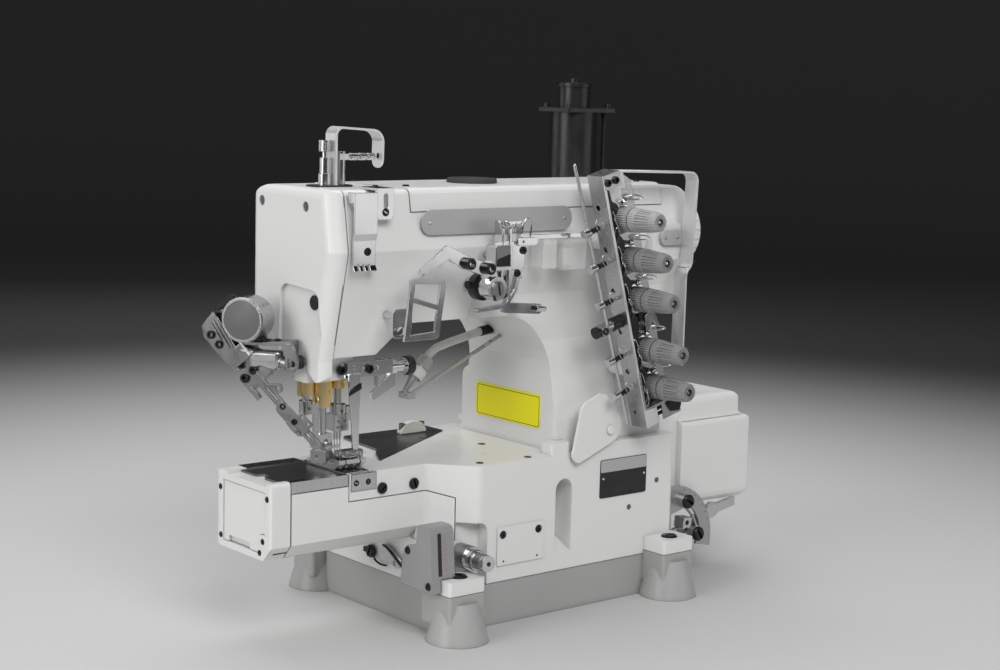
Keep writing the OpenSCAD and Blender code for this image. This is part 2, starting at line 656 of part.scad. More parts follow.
// Crank angle that puts the needle bar part way down
crank_angle = 97;
pin_y = needle_y + crank_r * sin(crank_angle);
pin_z = upper_shaft_z - crank_r * cos(crank_angle);
link_len = 48;
link_lean = asin((pin_y - needle_y) / link_len);
stud_z = pin_z - link_len * cos(link_lean);
module needle_crank() {
    color("gray") {
        difference() {
            union() {
                bar_x(-176, -166, needle_y, upper_shaft_z, 46);
                bar_x(-166, -160, needle_y, upper_shaft_z, 26);
            }
            bar_x(-168, -150, needle_y, upper_shaft_z, shaft_d);
            // balance the pin by lightening its side
            for (a = [-40, 40]) translate([-177, needle_y, upper_shaft_z]) rotate([crank_angle + a, 0, 0])
                translate([0, 0, 15]) rotate([0, 90, 0]) cylinder(d = 7, h = 12);
        }
        bar_x(-181.3, -175, pin_y, pin_z, 8);
    }
}

module needle_link() {
    color("silver") translate([0, needle_y, stud_z]) rotate([-link_lean, 0, 0]) difference() {
        union() {
            bar_x(-187, -182, 0, 0, 13);
            bar_x(-187, -182, 0, link_len, 16);
            block([-186, -4, 0], [-183, 4, link_len]);
        }
        bar_x(-188, -181, 0, 0, 6.1);
        bar_x(-188, -181, 0, link_len, 8.1);
    }
}

// ---- Needle bar, presser bar and spreader ----

module needle_bar() {
    color("silver") {
        difference() {
            bar_z(182, 404, needle_x, needle_y, needle_bar_d);
            bar_z(392, 405, needle_x, needle_y, 3.3);
        }
        // stud block that carries the crank link
        difference() {
            block([needle_x - 6, needle_y - 6, stud_z - 6], [needle_x + 7, needle_y + 6, stud_z + 7]);
            bar_y(needle_y - 7, needle_y + 7, needle_x - 4.4, stud_z + 4, 2.4);
        }
        bar_x(needle_x + 6, -180.5, needle_y, stud_z, 6);
        // thread finger on top of the bar
        block([needle_x - 4, needle_y - 4, 397], [needle_x + 5, needle_y + 4, 402]);
        bar_x(needle_x + 4, -166, needle_y, 399.5, 4);
        for (x = [-186, -177, -168]) bar_x(x, x + 6, needle_y, 399.5, 6);
    }
}

module needle_clamp() {
    color("silver") difference() {
        union() {
            bar_z(184, 194, needle_x, needle_y, 13.5);
            block([needle_x - 7, needle_y - 6.5, 172], [needle_x + 7, needle_y + 6.5, 186]);
            block([needle_x + 5, needle_y - 5, 180], [needle_x + 13, needle_y + 1, 192]);
        }
        bar_z(182, 200, needle_x, needle_y, needle_bar_d);
        // needle holes, and set screw holes in front
        for (i = [-1 : 1]) bar_z(171, 181, needle_x + i * needle_gauge, needle_y, 2.01);
        for (i = [-1 : 1]) bar_y(needle_y - 8, needle_y - 3, needle_x + i * 4.2, 175.5, 2.4);
        for (i = [-1, 1]) bar_y(needle_y - 8, needle_y - 3, needle_x + i * 3.2, 181, 3);
        bar_y(needle_y - 8, needle_y - 3, needle_x, 189, 3);
    }
}

module needles() {
    color("silver") for (i = [-1 : 1]) translate([needle_x + i * needle_gauge, needle_y, 0])
        rotate_extrude($fn = 24) polygon([[0, 144 - i * 1.2], [0.45, 150 - i * 1.2], [0.5, 163],
            [1, 165], [1, 180], [0, 181]]);
}

// Guide bushes of the needle bar, the presser bar and the spreader shaft
module bar_bushes() {
    color("goldenrod") {
        difference() {
            union() {
                bar_z(212, 256, needle_x, needle_y, 13.6);
                bar_z(208, 212, needle_x, needle_y, 14.4);
            }
            bar_z(200, 270, needle_x, needle_y, needle_bar_d + 0.1);
        }
        difference() {
            union() {
                bar_z(215.9, 256, presser_x, needle_y, 15);
                bar_z(204, 216, presser_x, needle_y, 17.2);
                bar_z(193, 204, presser_x, needle_y, 15.8);
            }
            bar_z(190, 270, presser_x, needle_y, presser_bar_d + 0.1);
        }
        difference() {
            union() {
                bar_z(215.9, 256, spreader_x, needle_y, 11);
                bar_z(204, 216, spreader_x, needle_y, 14);
            }
            bar_z(190, 270, spreader_x, needle_y, 6.1);
        }
    }
}

module presser_bar() {
    color("silver") {
        bar_z(166, 332, presser_x, needle_y, presser_bar_d);
        // lifting collar inside the head
        difference() {
            block([presser_x - 8, needle_y - 9, 272], [presser_x + 7, needle_y + 18, 284]);
            bar_y(needle_y - 10, needle_y + 10, presser_x - 5.6, 279, 2.6);
        }
    }
}

module presser_foot() {
    color("silver") difference() {
        union() {
            // clamp block on the bar, arm across to the needles, and the sole
            block([presser_x - 6.5, needle_y - 7, 158], [presser_x + 6.5, needle_y + 7, 171]);
            along_y(needle_y - 6, needle_y + 4) polygon([[presser_x - 6, 158.1], [presser_x - 4, 150],
                [presser_x + 2, 146], [presser_x + 12, 146], [presser_x + 8, 154.2], [presser_x + 6, 158.1]]);
            along_x(presser_x + 2, needle_x + 13) polygon(concat([[needle_y - 24, 147.6]],
                [[needle_y - 16, 142.2], [needle_y + 24, 142.2], [needle_y + 24, 145.2],
                [needle_y + 8, 147.2], [needle_y - 14, 147.2], [needle_y - 23, 151]]));
        }
        bar_z(160, 172, presser_x, needle_y, presser_bar_d);
        bar_y(needle_y - 8, needle_y - 4, presser_x, 165, 4.4);
        // needle opening and the toes beside it
        block([needle_x - 6, needle_y - 3, 141], [needle_x + 6, needle_y + 4, 160]);
        for (dx = [-7.2, 7.2]) block([needle_x + dx - 0.5, needle_y - 30, 141], [needle_x + dx + 0.5, needle_y - 8, 160]);
    }
}

// Round-wire spring, one ring a turn, between the lifting collar and the adjusting screw
module presser_spring() {
    color("dimgray") for (i = [0 : 9]) translate([presser_x, needle_y, 287.2 + i * 5.2]) rotate_extrude($fn = 24)
        polygon([[4.2, 0], [6.8, 0], [6.8, 5.3], [5.6, 5.3], [5.6, 2.6], [4.2, 2.6]]);
}

module presser_screw() {
    color("silver") difference() {
        union() {
            bar_z(340.5, 383, presser_x, needle_y, 9.9);
            bar_z(arm_top_z + 0.1, 386, presser_x, needle_y, 10.6);
            bar_z(383, 399, presser_x, needle_y, 8.6);
            bar_z(399, 404, presser_x, needle_y, 4.4);
            bar_z(403.9, 413, presser_x, needle_y, 9.6);
        }
        for (i = [0 : 17]) translate([presser_x, needle_y, 403]) rotate([0, 0, i * 20]) translate([5.1, 0, 0])
            cylinder(d = 1.1, h = 11, $fn = 12);
    }
}

// Screwed plate under the head with its bent arm and knurled release nut
module head_plate() {
    color("silver") difference() {
        union() {
            along_y(-33.9, -32.05) polygon(round_box(-202, 217, -148, 230, [2, 2, 2, 2]));
            block([-150, -33.9, 217], [-148, -12, 230]);
            block([-150, -14, 204], [-148, -10, 230]);
            bar_x(-148.1, -138, -22, 221, 12.5);
            bar_x(-138.1, -128, -22, 221, 9);
            bar_x(-128.1, -120, -22, 221, 14);
            along_y(-36, -33.8) polygon([[-170, 196], [-147, 207], [-147, 218], [-152, 218], [-172, 203]]);
        }
        bar_x(-126, -119, -22, 221, 6);
        for (x = [-196, -179, -165]) bar_y(-35, -32, x, 223.5, 4.4);
    }
}

// Shaft, clamp arm and the blade that lays the top covering thread
module spreader() {
    color("silver") {
        bar_z(188, 264, spreader_x, needle_y, 6);
        difference() {
            union() {
                bar_z(189, 200, spreader_x, needle_y, 11);
                block([spreader_x - 2, needle_y - 12, 190], [spreader_x + 5, needle_y, 199]);
            }
            bar_x(spreader_x - 3, spreader_x + 7, needle_y - 8.5, 194.5, 3);
        }
        along_x(spreader_x + 1.2, spreader_x + 3) polygon([[needle_y - 12, 190.1], [needle_y - 12, 176],
            [needle_y - 16, 162], [needle_y - 12, 162], [needle_y - 8, 176], [needle_y - 8, 190.1]]);
        along_z(160, 162.1) polygon([[spreader_x + 1.2, needle_y - 16], [spreader_x + 26, needle_y - 13],
            [spreader_x + 27, needle_y - 11.5], [spreader_x + 1.2, needle_y - 12]]);
    }
}

// ---- Looper and feed inside the cylinder bed ----

module looper() {
    color("silver") {
        difference() {
            union() {
                bar_y(-40, 2, -178, 92, 10);
                along_y(-24, -18) polygon([[-183, 92], [-186, 112], [-184, 124], [-173, 124], [-173, 92]]);
            }
            bar_y(-41, 3, -178, 92, 4);
        }
        // curved looper blade whose point passes behind the needles
        along_y(-20.4, -18.6) polygon(concat(arc(-180, 110, 16, 60, 122, 8), [[-189, 122], [-184, 118]],
            arc(-180, 110, 10, 110, 60, 5)));
    }
}

// A toothed feed dog on its foot: rows of teeth between the slots of the needle plate
module dog(y, foot_y) {
    for (dx = [-7.5, -0.5, 6.5]) along_x(needle_x + dx - 1.6, needle_x + dx + 1.6)
        polygon(concat([[y + 3.6, 132], [y - 3.6, 132]],
            [for (i = [0 : 4]) each [[y - 3.6 + i * 1.45, 138.6], [y - 2.4 + i * 1.45, 139.8]]], [[y + 3.6, 138.6]]));
    block([needle_x - 9.1, y - 3.6, 126.8], [needle_x + 8.1, y + 3.6, 132.1]);
    block([needle_x + 8, min(y, foot_y) - 3.6, 126.8], [needle_x + 18, max(y, foot_y) + 3.6, 130.8]);
    block([needle_x + 12, foot_y - 3.6, 118], [-104, foot_y + 3.6, 130.8]);
}
module main_feed_dog() {
    color("silver") dog(-9.5, -2);
}
module differential_dog() {
    color("silver") dog(-38.5, -38.5);
}

module differential_bracket() {
    color("gray") difference() {
        along_x(-157, -133) polygon(concat([[-106.5, 43.5]], arc(-96.3, 92.5, 6, 174, 90, 4),
            [[-86, 98.5], [-84, 96], [-83, 82], [-71, 78.5], [-66, 74], [-62, 47], [-65, 43.5]]));
        // scale slot, hollow back, and the notches over the base's lug and beside its wall
        block([-149.5, -110, 58], [-146.8, -88, 93]);
        block([-152, -95, 47], [-136.5, -66, 91]);
        block([-147.8, -120, 30], [-130, -76.4, 54.8]);
        block([-half_len - 0.3, -78.4, 30], [-130, -50, 100]);
        for (p = [[-71.5, 74], [-100.5, 49]]) bar_x(-160, -154, p[0], p[1], 5);
    }
    // lever end that shows in the slot
    color("dimgray") block([-149.6, -102.5, 71], [-146.7, -94.8, 75]);
}

module differential_nut() {
    color("silver") translate([-108, 0, 65]) difference() {
        union() {
            bar_y(-96, -78.4, 0, 0, 20);
            bar_y(-104, -95.9, 0, 0, 17);
            bar_y(-119, -103.9, 0, 0, 13.5);
        }
        bar_y(-120, -112, 0, 0, 3);
        for (i = [0 : 23]) rotate([0, i * 15, 0]) translate([7.1, 0, 0]) bar_y(-118, -105, 0, 0, 1.2);
    }
}

// ---- Foot lifter, differential lever and solenoid ----

// Shaft along the arm: its front finger raises the presser bar, its rear lever is pushed by the plunger
module lifter_lever() {
    color("gray") {
        bar_x(-214, 148, lifter_y, lifter_z, 10);
        along_x(-212, -205) polygon([[lifter_y + 6, lifter_z + 5], [lifter_y + 6, lifter_z - 8],
            [-1, 263], [-9.5, 263], [-9.5, 271.4], [-2, 271.4], [3.2, 274.4], [lifter_y - 6, lifter_z + 2]]);
        along_x(136, 148) polygon([[lifter_y - 5, lifter_z - 6], [lifter_y - 5, lifter_z + 6],
            [solenoid_y + 8, lifter_z + 6], [solenoid_y + 8, lifter_z - 2], [56, lifter_z - 6]]);
    }
}

module lever_sector() {
    color("dimgray") {
        along_y(-79, -76.5) difference() {
            polygon(concat([[135.2, 93]], arc(146, 40, 53, 78, -12, 12), arc(146, 40, 34, -12, 62, 10),
                [[145, 66], [145, 51]], arc(147, 42, 8, 80, -90, 8), [[135.2, 34]]));
            polygon(concat(arc(146, 40, 39, 62, -8, 10), arc(146, 40, 36, -8, 62, 10)));
        }
        // flange on the base's end wall, the pivot pin and two stop screws
        block([half_len + 0.1, -79, 36], [half_len + 3, -52, 93]);
        bar_y(-78, -68, 147, 42, 6);
        for (p = [[159, 78], [174, 45]]) bar_y(-86, -77, p[0], p[1], 12.5);
    }
}

module feed_lever() {
    color("silver") difference() {
        union() {
            bar_y(-76, -72, 147, 42, 16);
            along_y(-76, -72) polygon(strap([147, 42], [206, 63], 10));
            along_y(-75.8, -72.2) polygon(concat(arc(203, 62, 8, 60, 300, 6), [[212, 59], [234, 63],
                [234, 71.5], [212, 68]]));
            // clamp block that shows inside the sector
            along_y(-84, -72) polygon([[156, 52], [166, 52], [168, 61], [157, 62]]);
        }
        bar_y(-80, -70, 147, 42, 6.1);
        bar_y(-85, -80, 161.5, 56.8, 4);
    }
}

module foot_solenoid() {
    color("dimgray") translate([solenoid_x, solenoid_y, 0]) difference() {
        union() {
            translate([0, 0, 330]) cylinder(d = solenoid_d, h = 107);
            // bracket on the arm's back, flange plate with its screws, and the cap
            block([-29, arm_back_y + 4 - solenoid_y, 328], [8, arm_back_y + 8 - solenoid_y, 364]);
            along_z(436, 440) polygon(round_box(-27, -23, 36, 23, even(3)));
            translate([0, 0, 439]) cylinder(d = 32, h = 25);
            translate([0, 0, 460]) cylinder(d = 35, h = 3);
            for (p = [[-20, -17], [30, -17], [-20, 17], [30, 17]]) translate([p[0], p[1], 439]) cylinder(d = 6, h = 5);
            // guide rod beside the body
            translate([29, -12, 332]) cylinder(d = 4, h = 105);
            translate([29, -12, 431]) cylinder(d = 6, h = 6);
            block([10, -14, 332], [31, -10, 340]);
            translate([0, 0, 462]) cylinder(d = 9, h = 6);
        }
        translate([0, 0, 325]) cylinder(d = 8.2, h = 100);
    }
}

module solenoid_plunger() {
    color("silver") translate([solenoid_x, solenoid_y, 0]) {
        translate([0, 0, lifter_z + 6.5]) cylinder(d = 8, h = 82);
        translate([0, 0, lifter_z + 6.5]) cylinder(d = 12, h = 5);
    }
}

// ---- Thread tension group ----

module in_bracket() {
    translate([bracket_top[0], 0, bracket_top[1]]) rotate([0, -tension_tilt, 0]) children();
}

module tension_bracket() {
    color("silver") in_bracket() difference() {
        union() {
            block([-1, -96.1 - bracket_depth, -231], [1.5, -96.1, 3]);
            along_y(-98, -96.1) polygon([[0, -215], [46, -215], [46, -15], [39, -8], [0, -8]]);
            // front tab with two screws, and its top
            block([0, -97.2 - bracket_depth, -10], [19, -95.2 - bracket_depth, 3]);
            block([0, -96.5 - bracket_depth, 1], [19, -96.1, 3]);
            // folded clip at the lower end
            block([0, -97.2 - bracket_depth, -214], [2, -112, -178]);
            block([0, -114, -216], [44, -96.1, -214]);
            block([22, -114, -231], [44, -112.5, -214.5]);
            block([-1, -97, -231], [24, -96.1, -215]);
            // square plate below the top
            along_y(-105, -96.1) polygon(round_box(8, -31.2, 25, -13, even(2)));
        }
        for (d = post_drop) bar_y(-100, -90, post_side, -d, 6);
        // thread holes along the side wall
        for (d = [26 : 38 : 216]) translate([-3, -103, -d]) rotate([0, 90, 0]) cylinder(d = 5, h = 6);
        for (x = [5, 14]) bar_y(-120, -110, x, -4, 4.2);
        bar_y(-120, -90, 35, -196, 5);
    }
}

// Posts with their nuts and pairs of tension discs
module tension_posts() {
    color("silver") in_bracket() for (d = post_drop) {
        bar_y(-110, -91, post_side, -d, 6);
        bar_y(-96, -92, post_side, -d, 11);
        translate([post_side, 0, -d]) rotate([90, 0, 0]) rotate_extrude() polygon([[2.9, 98.1], [5, 98.1],
            [10, 99.2], [10.5, 100], [6, 101.2], [6, 101.6], [10.5, 102.8], [10, 103.6], [5, 104.7], [2.9, 104.7]]);
    }
}

module tension_knob(drop) {
    r = knob_d / 2;
    back = 105.4;
    tip = 106 + knob_len;
    color("lightgray") in_bracket() translate([post_side, 0, -drop]) rotate([90, 0, 0]) difference() {
        rotate_extrude() polygon([[0, back + 5], [3.05, back + 5], [3.05, back], [r - 0.8, back], [r, back + 1],
            [r - 0.3, back + 14], [r - 2.2, back + 14.3], [r - 2.2, back + 15.6], [r - 0.4, back + 15.9],
            [r - 0.8, back + 23], [r - 1, back + 23.3], [r - 2.2, tip - 7], [r - 3.2, tip - 1.6], [r - 4.4, tip],
            [0, tip]]);
        for (i = [0 : 23]) rotate([0, 0, i * 15]) translate([r - 1.2, 0, back + 24]) rotate([0, -3, 0])
            cylinder(d = 1.1, h = 16, $fn = 12);
        // stepped recess in the tip
        translate([0, 0, tip - 3]) cylinder(d = 6.4, h = 4);
    }
}
module tension_knob_1() {
    tension_knob(post_drop[0]);
}
module tension_knob_2() {
    tension_knob(post_drop[1]);
}
module tension_knob_3() {
    tension_knob(post_drop[2]);
}
module tension_knob_4() {
    tension_knob(post_drop[3]);
}
module tension_knob_5() {
    tension_knob(post_drop[4]);
}

// Strap round the tension knobs, on a link plate riveted to the arm
module knob_guard() {
    color("silver") difference() {
        union() {
            strip([[42, 389], [142, 386.5], [138, 302], [131.5, 297], [130.5, 211]], -100, 15, 2);
            along_y(-85.4, -82.05) polygon(round_box(112, 320, 146, 334, even(6)));
            // ear over the tension bracket
            along_y(-100, -98.1) polygon([[42.6, 374], [52, 374], [48, 389.6], [42, 389.6]]);
        }
        for (x = [118, 131]) bar_y(-87, -82, x, 327, 4.4);
        block([120, -99, 209], [136, -91, 220]);
    }
}

module thread_rod() {
    color("silver") {
        wire([[-17, 395], [55, 166]], -109.5, 3);
        in_bracket() for (d = [41, 73, 107, 159, 191]) {
            bar_x(-24, -1.1, -109.5, -d, 3.4);
            bar_x(-28, -21, -109.5, -d, 7.5);
        }
        in_bracket() bar_x(-27, -1.1, -104, -130, 9);
        in_bracket() block([-29, -112, -134], [-21, -101, -126]);
    }
}

// ---- Thread take-up at the arm's front ----

module take_up_lever() {
    y0 = -103;
    color("silver") difference() {
        union() {
            bar_y(-99.9, -52, take_up_x, take_up_z, 12);
            bar_y(-107, -94, take_up_x, take_up_z, 20);
            // lever, its bent corner and the open trapezoid of the thread frame
            along_y(y0, y0 + 4) polygon(strap([take_up_x, take_up_z], [-103, 311], 14));
            along_y(y0, y0 + 4) polygon(strap([-101, 309], [-128, 317], 11));
            along_y(y0, y0 + 4) polygon([[-124, 322], [-146, 331.5], [-150, 328], [-141, 318], [-124, 311]]);
            along_y(y0, y0 + 3) polygon([[-146, 331.5], [-172, 313], [-173, 309], [-166, 309], [-141, 322]]);
            along_y(y0, y0 + 2.6) polygon([[-182, 305], [-166, 309.5], [-148, 304], [-147, 299], [-153, 258],
                [-157, 256], [-188, 256], [-187, 261]]);
            for (p = [[-104, 311], [-125, 316]]) bar_y(-106.5, -100, p[0], p[1], 9);
        }
        // windows of the thread frame
        along_y(y0 - 1, y0 + 3) polygon([[-178, 302], [-152, 300], [-154.5, 283.5], [-179.5, 291]]);
        along_y(y0 - 1, y0 + 3) polygon([[-180, 287], [-155, 279.5], [-157.5, 262], [-182.5, 260.5]]);
        bar_y(-110, -103, take_up_x, take_up_z, 6);
        along_y(-108, -93) polygon([[-106, 289], [-96, 284], [-97, 282], [-108, 286]]);
    }
}

module take_up_guides() {
    color("silver") difference() {
        union() {
            // thread bar with its bent end, on a block screwed to the arm
            strip([[-109, 275.5], [-79, 278], [-69, 291], [-64, 312], [-64, 330]], -98, 5, 3.4);
            along_y(-98, -95) polygon(strap([-79, 276.5], [-43, 273.5], 9));
            along_y(-98.6, -86) polygon(round_box(-92, 311, -74, 329, even(2)));
            along_y(-98, -95) polygon(round_box(-92, 308, -60, 332, even(3)));
            // upright guide plates
            block([-85, -98, 286], [-82.6, -88, 349]);
            block([-77, -98, 282], [-74.5, -90, 349]);
            block([-65, -98, 300], [-62.5, -92, 344]);
            block([-85, -98, 346], [-62.5, -95, 349]);
            for (x = [-82, -66]) bar_y(-98, -66, x, 320, 7);
            bar_y(-98, -62, -48, 273.5, 6);
            // small thread plate left of the lever
            along_y(-86, -84) polygon(round_box(-187, 256, -168, 280, even(4)));
            bar_y(-86, -60, -178, 273, 6);
        }
        bar_y(-90, -83, -179, 262, 7);
        for (p = [[-62, 324], [-68, 305]]) bar_y(-100, -93, p[0], p[1], 3);
        bar_y(-100, -93, -105, 275.8, 2);
    }
}

// ---- Guards and guides at the head ----

module take_up_guard() {
    color("silver") difference() {
        union() {
            strip(concat([[-204.4, arm_top_z + 0.95], [-204.4, 417]], arc(-198, 417, 6.4, 165, 95, 3), arc(-168, 411, 10.5, 82, 8, 5),
                [[-158, 391]]),
                needle_y - 7.5, 15, 1.8);
            block([-205.3, needle_y + 8, arm_top_z + 0.05], [-190, needle_y + 22, arm_top_z + 2]);
            block([-205.3, needle_y - 8, arm_top_z + 0.05], [-203, needle_y + 22, arm_top_z + 2]);
        }
        bar_x(-170, -150, needle_y, 400, 6);
        // rounded tip of the tongue
        along_x(-164, -152) difference() {
            translate([needle_y - 10, 385]) square([20, 12.5]);
            translate([needle_y, 397.5]) circle(d = 15);
        }
        bar_z(arm_top_z - 1, arm_top_z + 4, -197, needle_y + 15, 4.4);
    }
}

module head_guide() {
    color("silver") difference() {
        union() {
            // standing plate, its bend, and the foot screwed to the arm's front
            along_x(-223, -201) polygon([[-82, 374], [-80.4, 374], [-80.4, 341], [-78.6, 336],
                [-78.6, 315], [-80.6, 311], [-82.2, 312], [-80.2, 316], [-80.2, 336], [-82, 341]]);
            block([-223, -82, 366], [-221, -72, 374]);
            // slotted guide beside it
            along_y(-80.4, -78.4) polygon(round_box(-201.2, 352, -184, arm_top_z + 1.9, [3, 3, 0.3, 0.3]));
            along_z(arm_top_z + 0.05, arm_top_z + 1.9) polygon(round_box(-201.2, -80, -184, -56, [0.3, 0.3, 5, 5]));
            for (p = [[-209, 327], [-192, 358]]) bar_y(-79, -68, p[0], p[1], 6);
        }
        for (x = [-219 : 5 : -205]) block([x, -84, 309], [x + 2, -78, 317]);
        along_y(-82, -78) polygon(strap([-192, 363], [-192, 371], 4));
    }
}

// ---- Thread wiper at the left of the head ----

module in_wiper() {
    translate([-270, 3, 268]) rotate([0, 0, -wiper_turn]) children();
}
// Frame of the wiper's hinge barrel, its axis along Z
module in_barrel() {
    in_wiper() translate([1, 4, -28]) rotate([0, 102.4, 0]) children();
}

module wiper_bracket() {
    color("dimgray") {
        in_wiper() difference() {
            union() {
                // plate behind the solenoid, its rim and the raised pad with two screws
                along_y(9, 12) polygon([[-40, -9], [-38, -18], [-8, -46], [-5, -43], [-5, -22], [32, -21],
                    [32, -41], [41, -41], [42, -17], [14, -17], [12, 14], [-14, 16], [-30, 3]]);
                along_y(0, 10) polygon([[-40, -9], [-38, -18], [-8, -46], [-5, -43], [-35, -15], [-37, -9],
                    [-28, 2], [-30, 3.5]]);
                along_y(-1, 10) polygon([[-37, -16], [-24, -29], [-18, -22], [-30, -9]]);
                along_y(-2, 12) polygon([[-5, -19.2], [14, -18.8], [41, -16], [42, -20], [-5, -21.8]]);
            }
            for (p = [[-32, -16.5], [-24.7, -24]]) bar_y(-2, 6, p[0], p[1] + 2, 4);
        }
        in_barrel() {
            translate([0, 0, -5]) cylinder(d = 6, h = 45);
            for (z = [-5, 31]) translate([0, 0, z]) cylinder(d = 11, h = 5);
            for (z = [-5, 31]) translate([-6, 0, z]) cube([12, 8, 5]);
        }
        // stub into the face cover's pocket, with a collar
        bar_x(-252, -236, -31, 234, 8);
        bar_x(-243, -239, -31, 234, 11);
    }
}

module wiper_solenoid() {
    color("silver") in_wiper() translate([2.9, 0, 0]) {
        bar_y(-12, 8.9, 0, 0, wiper_d);
        difference() {
            bar_y(-13.4, -11.9, 0, 0, wiper_d - 1.6);
            bar_y(-14, -12.7, 0, 0, wiper_d - 5);
        }
    }
}

module wiper_arm() {
    color("silver") {
        // clamp block on the barrel
        in_barrel() translate([0, 0, 0.3]) difference() {
            cylinder(d = 11, h = 30.4);
            translate([0, 0, -1]) cylinder(d = 6.1, h = 33);
        }
        in_wiper() difference() {
            union() {
                along_y(-2, 5) polygon([[-4, -51], [6, -61], [22, -45], [26, -38.5], [4, -33.5], [4, -42]]);
                // arm, its adjustable end plate, ring tab and the wiper's end block
                along_y(-4.4, -1.9) polygon(strap([8, -43], [68, -101], 7));
                along_y(-6, -4.3) polygon(strap([36, -71], [54, -87], 11));
                along_y(-4.4, -1.9) polygon(strap([24, -56], [31, -55], 8));
                along_y(-6, 1) polygon([[61, -103], [69, -98], [75, -108], [72, -114], [62, -113]]);
            }
            along_y(-5, 0) polygon(strap([21, -55.8], [30, -64.2], 2.6));
            along_y(-7, 0) polygon(strap([57, -90.2], [62, -95], 2.6));
            bar_y(-5, 0, 31, -55, 4);
            for (p = [[0, -49], [7.6, -42]]) bar_y(-5, 0, p[0] + 1, p[1], 4);
            bar_y(-7, -3, 47, -80.8, 4);
        }
    }
}

// ---- Air jet behind the needle ----

module air_nozzle() {
    color("silver") {
        translate([-110, 4, 189]) rotate([0, 40, 0]) difference() {
            union() {
                cylinder(d1 = 3, d2 = 9, h = 22);
                translate([0, 0, 22]) cylinder(d = 12, h = 20);
            }
            translate([0, 0, -1]) cylinder(d = 1.4, h = 24);
            translate([0, 0, 30]) cylinder(d = 8, h = 14);
        }
        // rod that carries it from the arm
        wire([[-111, 190], [-3, 239.37]], -6, 3.4);
        block([-112, -8, 188], [-104, 6, 193]);
    }
}

module air_hose() {
    color("whitesmoke") wire([[-87.8, 215.5], [-80.4, 224.3], [-73, 229], [-58, 233], [-39, 237], [-21, 241], [-3, 241]], 4, 7.4);
}

bed_casting();
base_pan();
arm_casting();
top_cover();
face_cover();
front_bed_cover();
bed_end_cap();
bed_end_panel();
slide_rails();
slide_plate();
needle_plate();
cloth_wing();
access_cover();
swing_guard();
motor_cover();
motor_stator();
lower_shaft();
timing_belt();
upper_shaft();
handwheel();
needle_crank();
needle_link();
needle_bar();
needle_clamp();
needles();
bar_bushes();
head_plate();
presser_bar();
presser_foot();
presser_spring();
presser_screw();
spreader();
looper();
main_feed_dog();
differential_dog();
differential_bracket();
differential_nut();
lifter_lever();
lever_sector();
feed_lever();
foot_solenoid();
solenoid_plunger();
tension_bracket();
tension_posts();
tension_knob_1();
tension_knob_2();
tension_knob_3();
tension_knob_4();
tension_knob_5();
knob_guard();
thread_rod();
take_up_lever();
take_up_guides();
take_up_guard();
head_guide();
wiper_bracket();
wiper_solenoid();
wiper_arm();
air_nozzle();
air_hose();
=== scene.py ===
import json
import math
import random
from types import SimpleNamespace

import bpy
from mathutils import Matrix, Vector


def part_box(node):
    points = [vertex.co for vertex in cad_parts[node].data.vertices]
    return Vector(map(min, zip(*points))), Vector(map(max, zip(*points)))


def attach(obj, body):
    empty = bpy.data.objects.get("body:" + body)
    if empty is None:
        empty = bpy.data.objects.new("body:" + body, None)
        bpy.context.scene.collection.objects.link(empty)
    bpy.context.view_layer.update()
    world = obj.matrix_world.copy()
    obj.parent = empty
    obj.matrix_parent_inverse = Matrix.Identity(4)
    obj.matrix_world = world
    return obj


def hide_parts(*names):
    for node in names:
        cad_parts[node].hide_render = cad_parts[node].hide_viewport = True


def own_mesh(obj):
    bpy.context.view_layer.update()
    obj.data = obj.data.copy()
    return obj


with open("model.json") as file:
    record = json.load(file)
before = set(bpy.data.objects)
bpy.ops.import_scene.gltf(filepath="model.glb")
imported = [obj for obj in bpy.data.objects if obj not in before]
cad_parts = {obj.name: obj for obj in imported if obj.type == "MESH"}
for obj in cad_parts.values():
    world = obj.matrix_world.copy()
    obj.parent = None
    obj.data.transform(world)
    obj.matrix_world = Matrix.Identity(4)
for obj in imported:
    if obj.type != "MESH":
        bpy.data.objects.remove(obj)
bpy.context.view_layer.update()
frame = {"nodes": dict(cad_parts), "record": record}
record = frame["record"]
scene = bpy.context.scene
random.seed(7)  # turns of the screw slots

mm = 0.001  # every size below is in millimetres
front, back, left, right, top = (0, -1, 0), (0, 1, 0), (-1, 0, 0), (1, 0, 0), (0, 0, 1)
home = "machine_frame"  # the body of every piece that doesn't move


def edges(node):
    # sides and middle of a CAD node, in millimetres
    low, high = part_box(node)
    return SimpleNamespace(x0=low.x / mm, x1=high.x / mm, y0=low.y / mm, y1=high.y / mm,
                           z0=low.z / mm, z1=high.z / mm, x=(low.x + high.x) / 2 / mm,
                           y=(low.y + high.y) / 2 / mm, z=(low.z + high.z) / 2 / mm)


arm, bed, face = edges("arm_casting"), edges("bed_casting"), edges("face_cover")


# finishes

def put(tree, kind, values=None, **settings):
    # new shader node with its settings and the values on its sockets
    node = tree.nodes.new("ShaderNode" + kind)
    for key, value in settings.items():
        setattr(node, key, value)
    for key, value in (values or {}).items():
        node.inputs[key].default_value = value
    return node


def shade(colour, factor=1.0):
    return [min(1, c * factor) for c in colour] + [1]


def addSeamShade(tree, paint, colour, seamShade):
    # painted shade: the colour darkens where ambient occlusion finds seams, corners and gaps between parts
    corner = put(tree, "AmbientOcclusion", {"Distance": 5 * mm}, samples=4)
    darker = put(tree, "Mix", data_type="RGBA")
    darker.inputs["A"].default_value = shade(colour, 1 - seamShade)
    tree.links.new(corner.outputs["AO"], darker.inputs["Factor"])
    tree.links.new(paint, darker.inputs["B"])
    return darker.outputs["Result"]


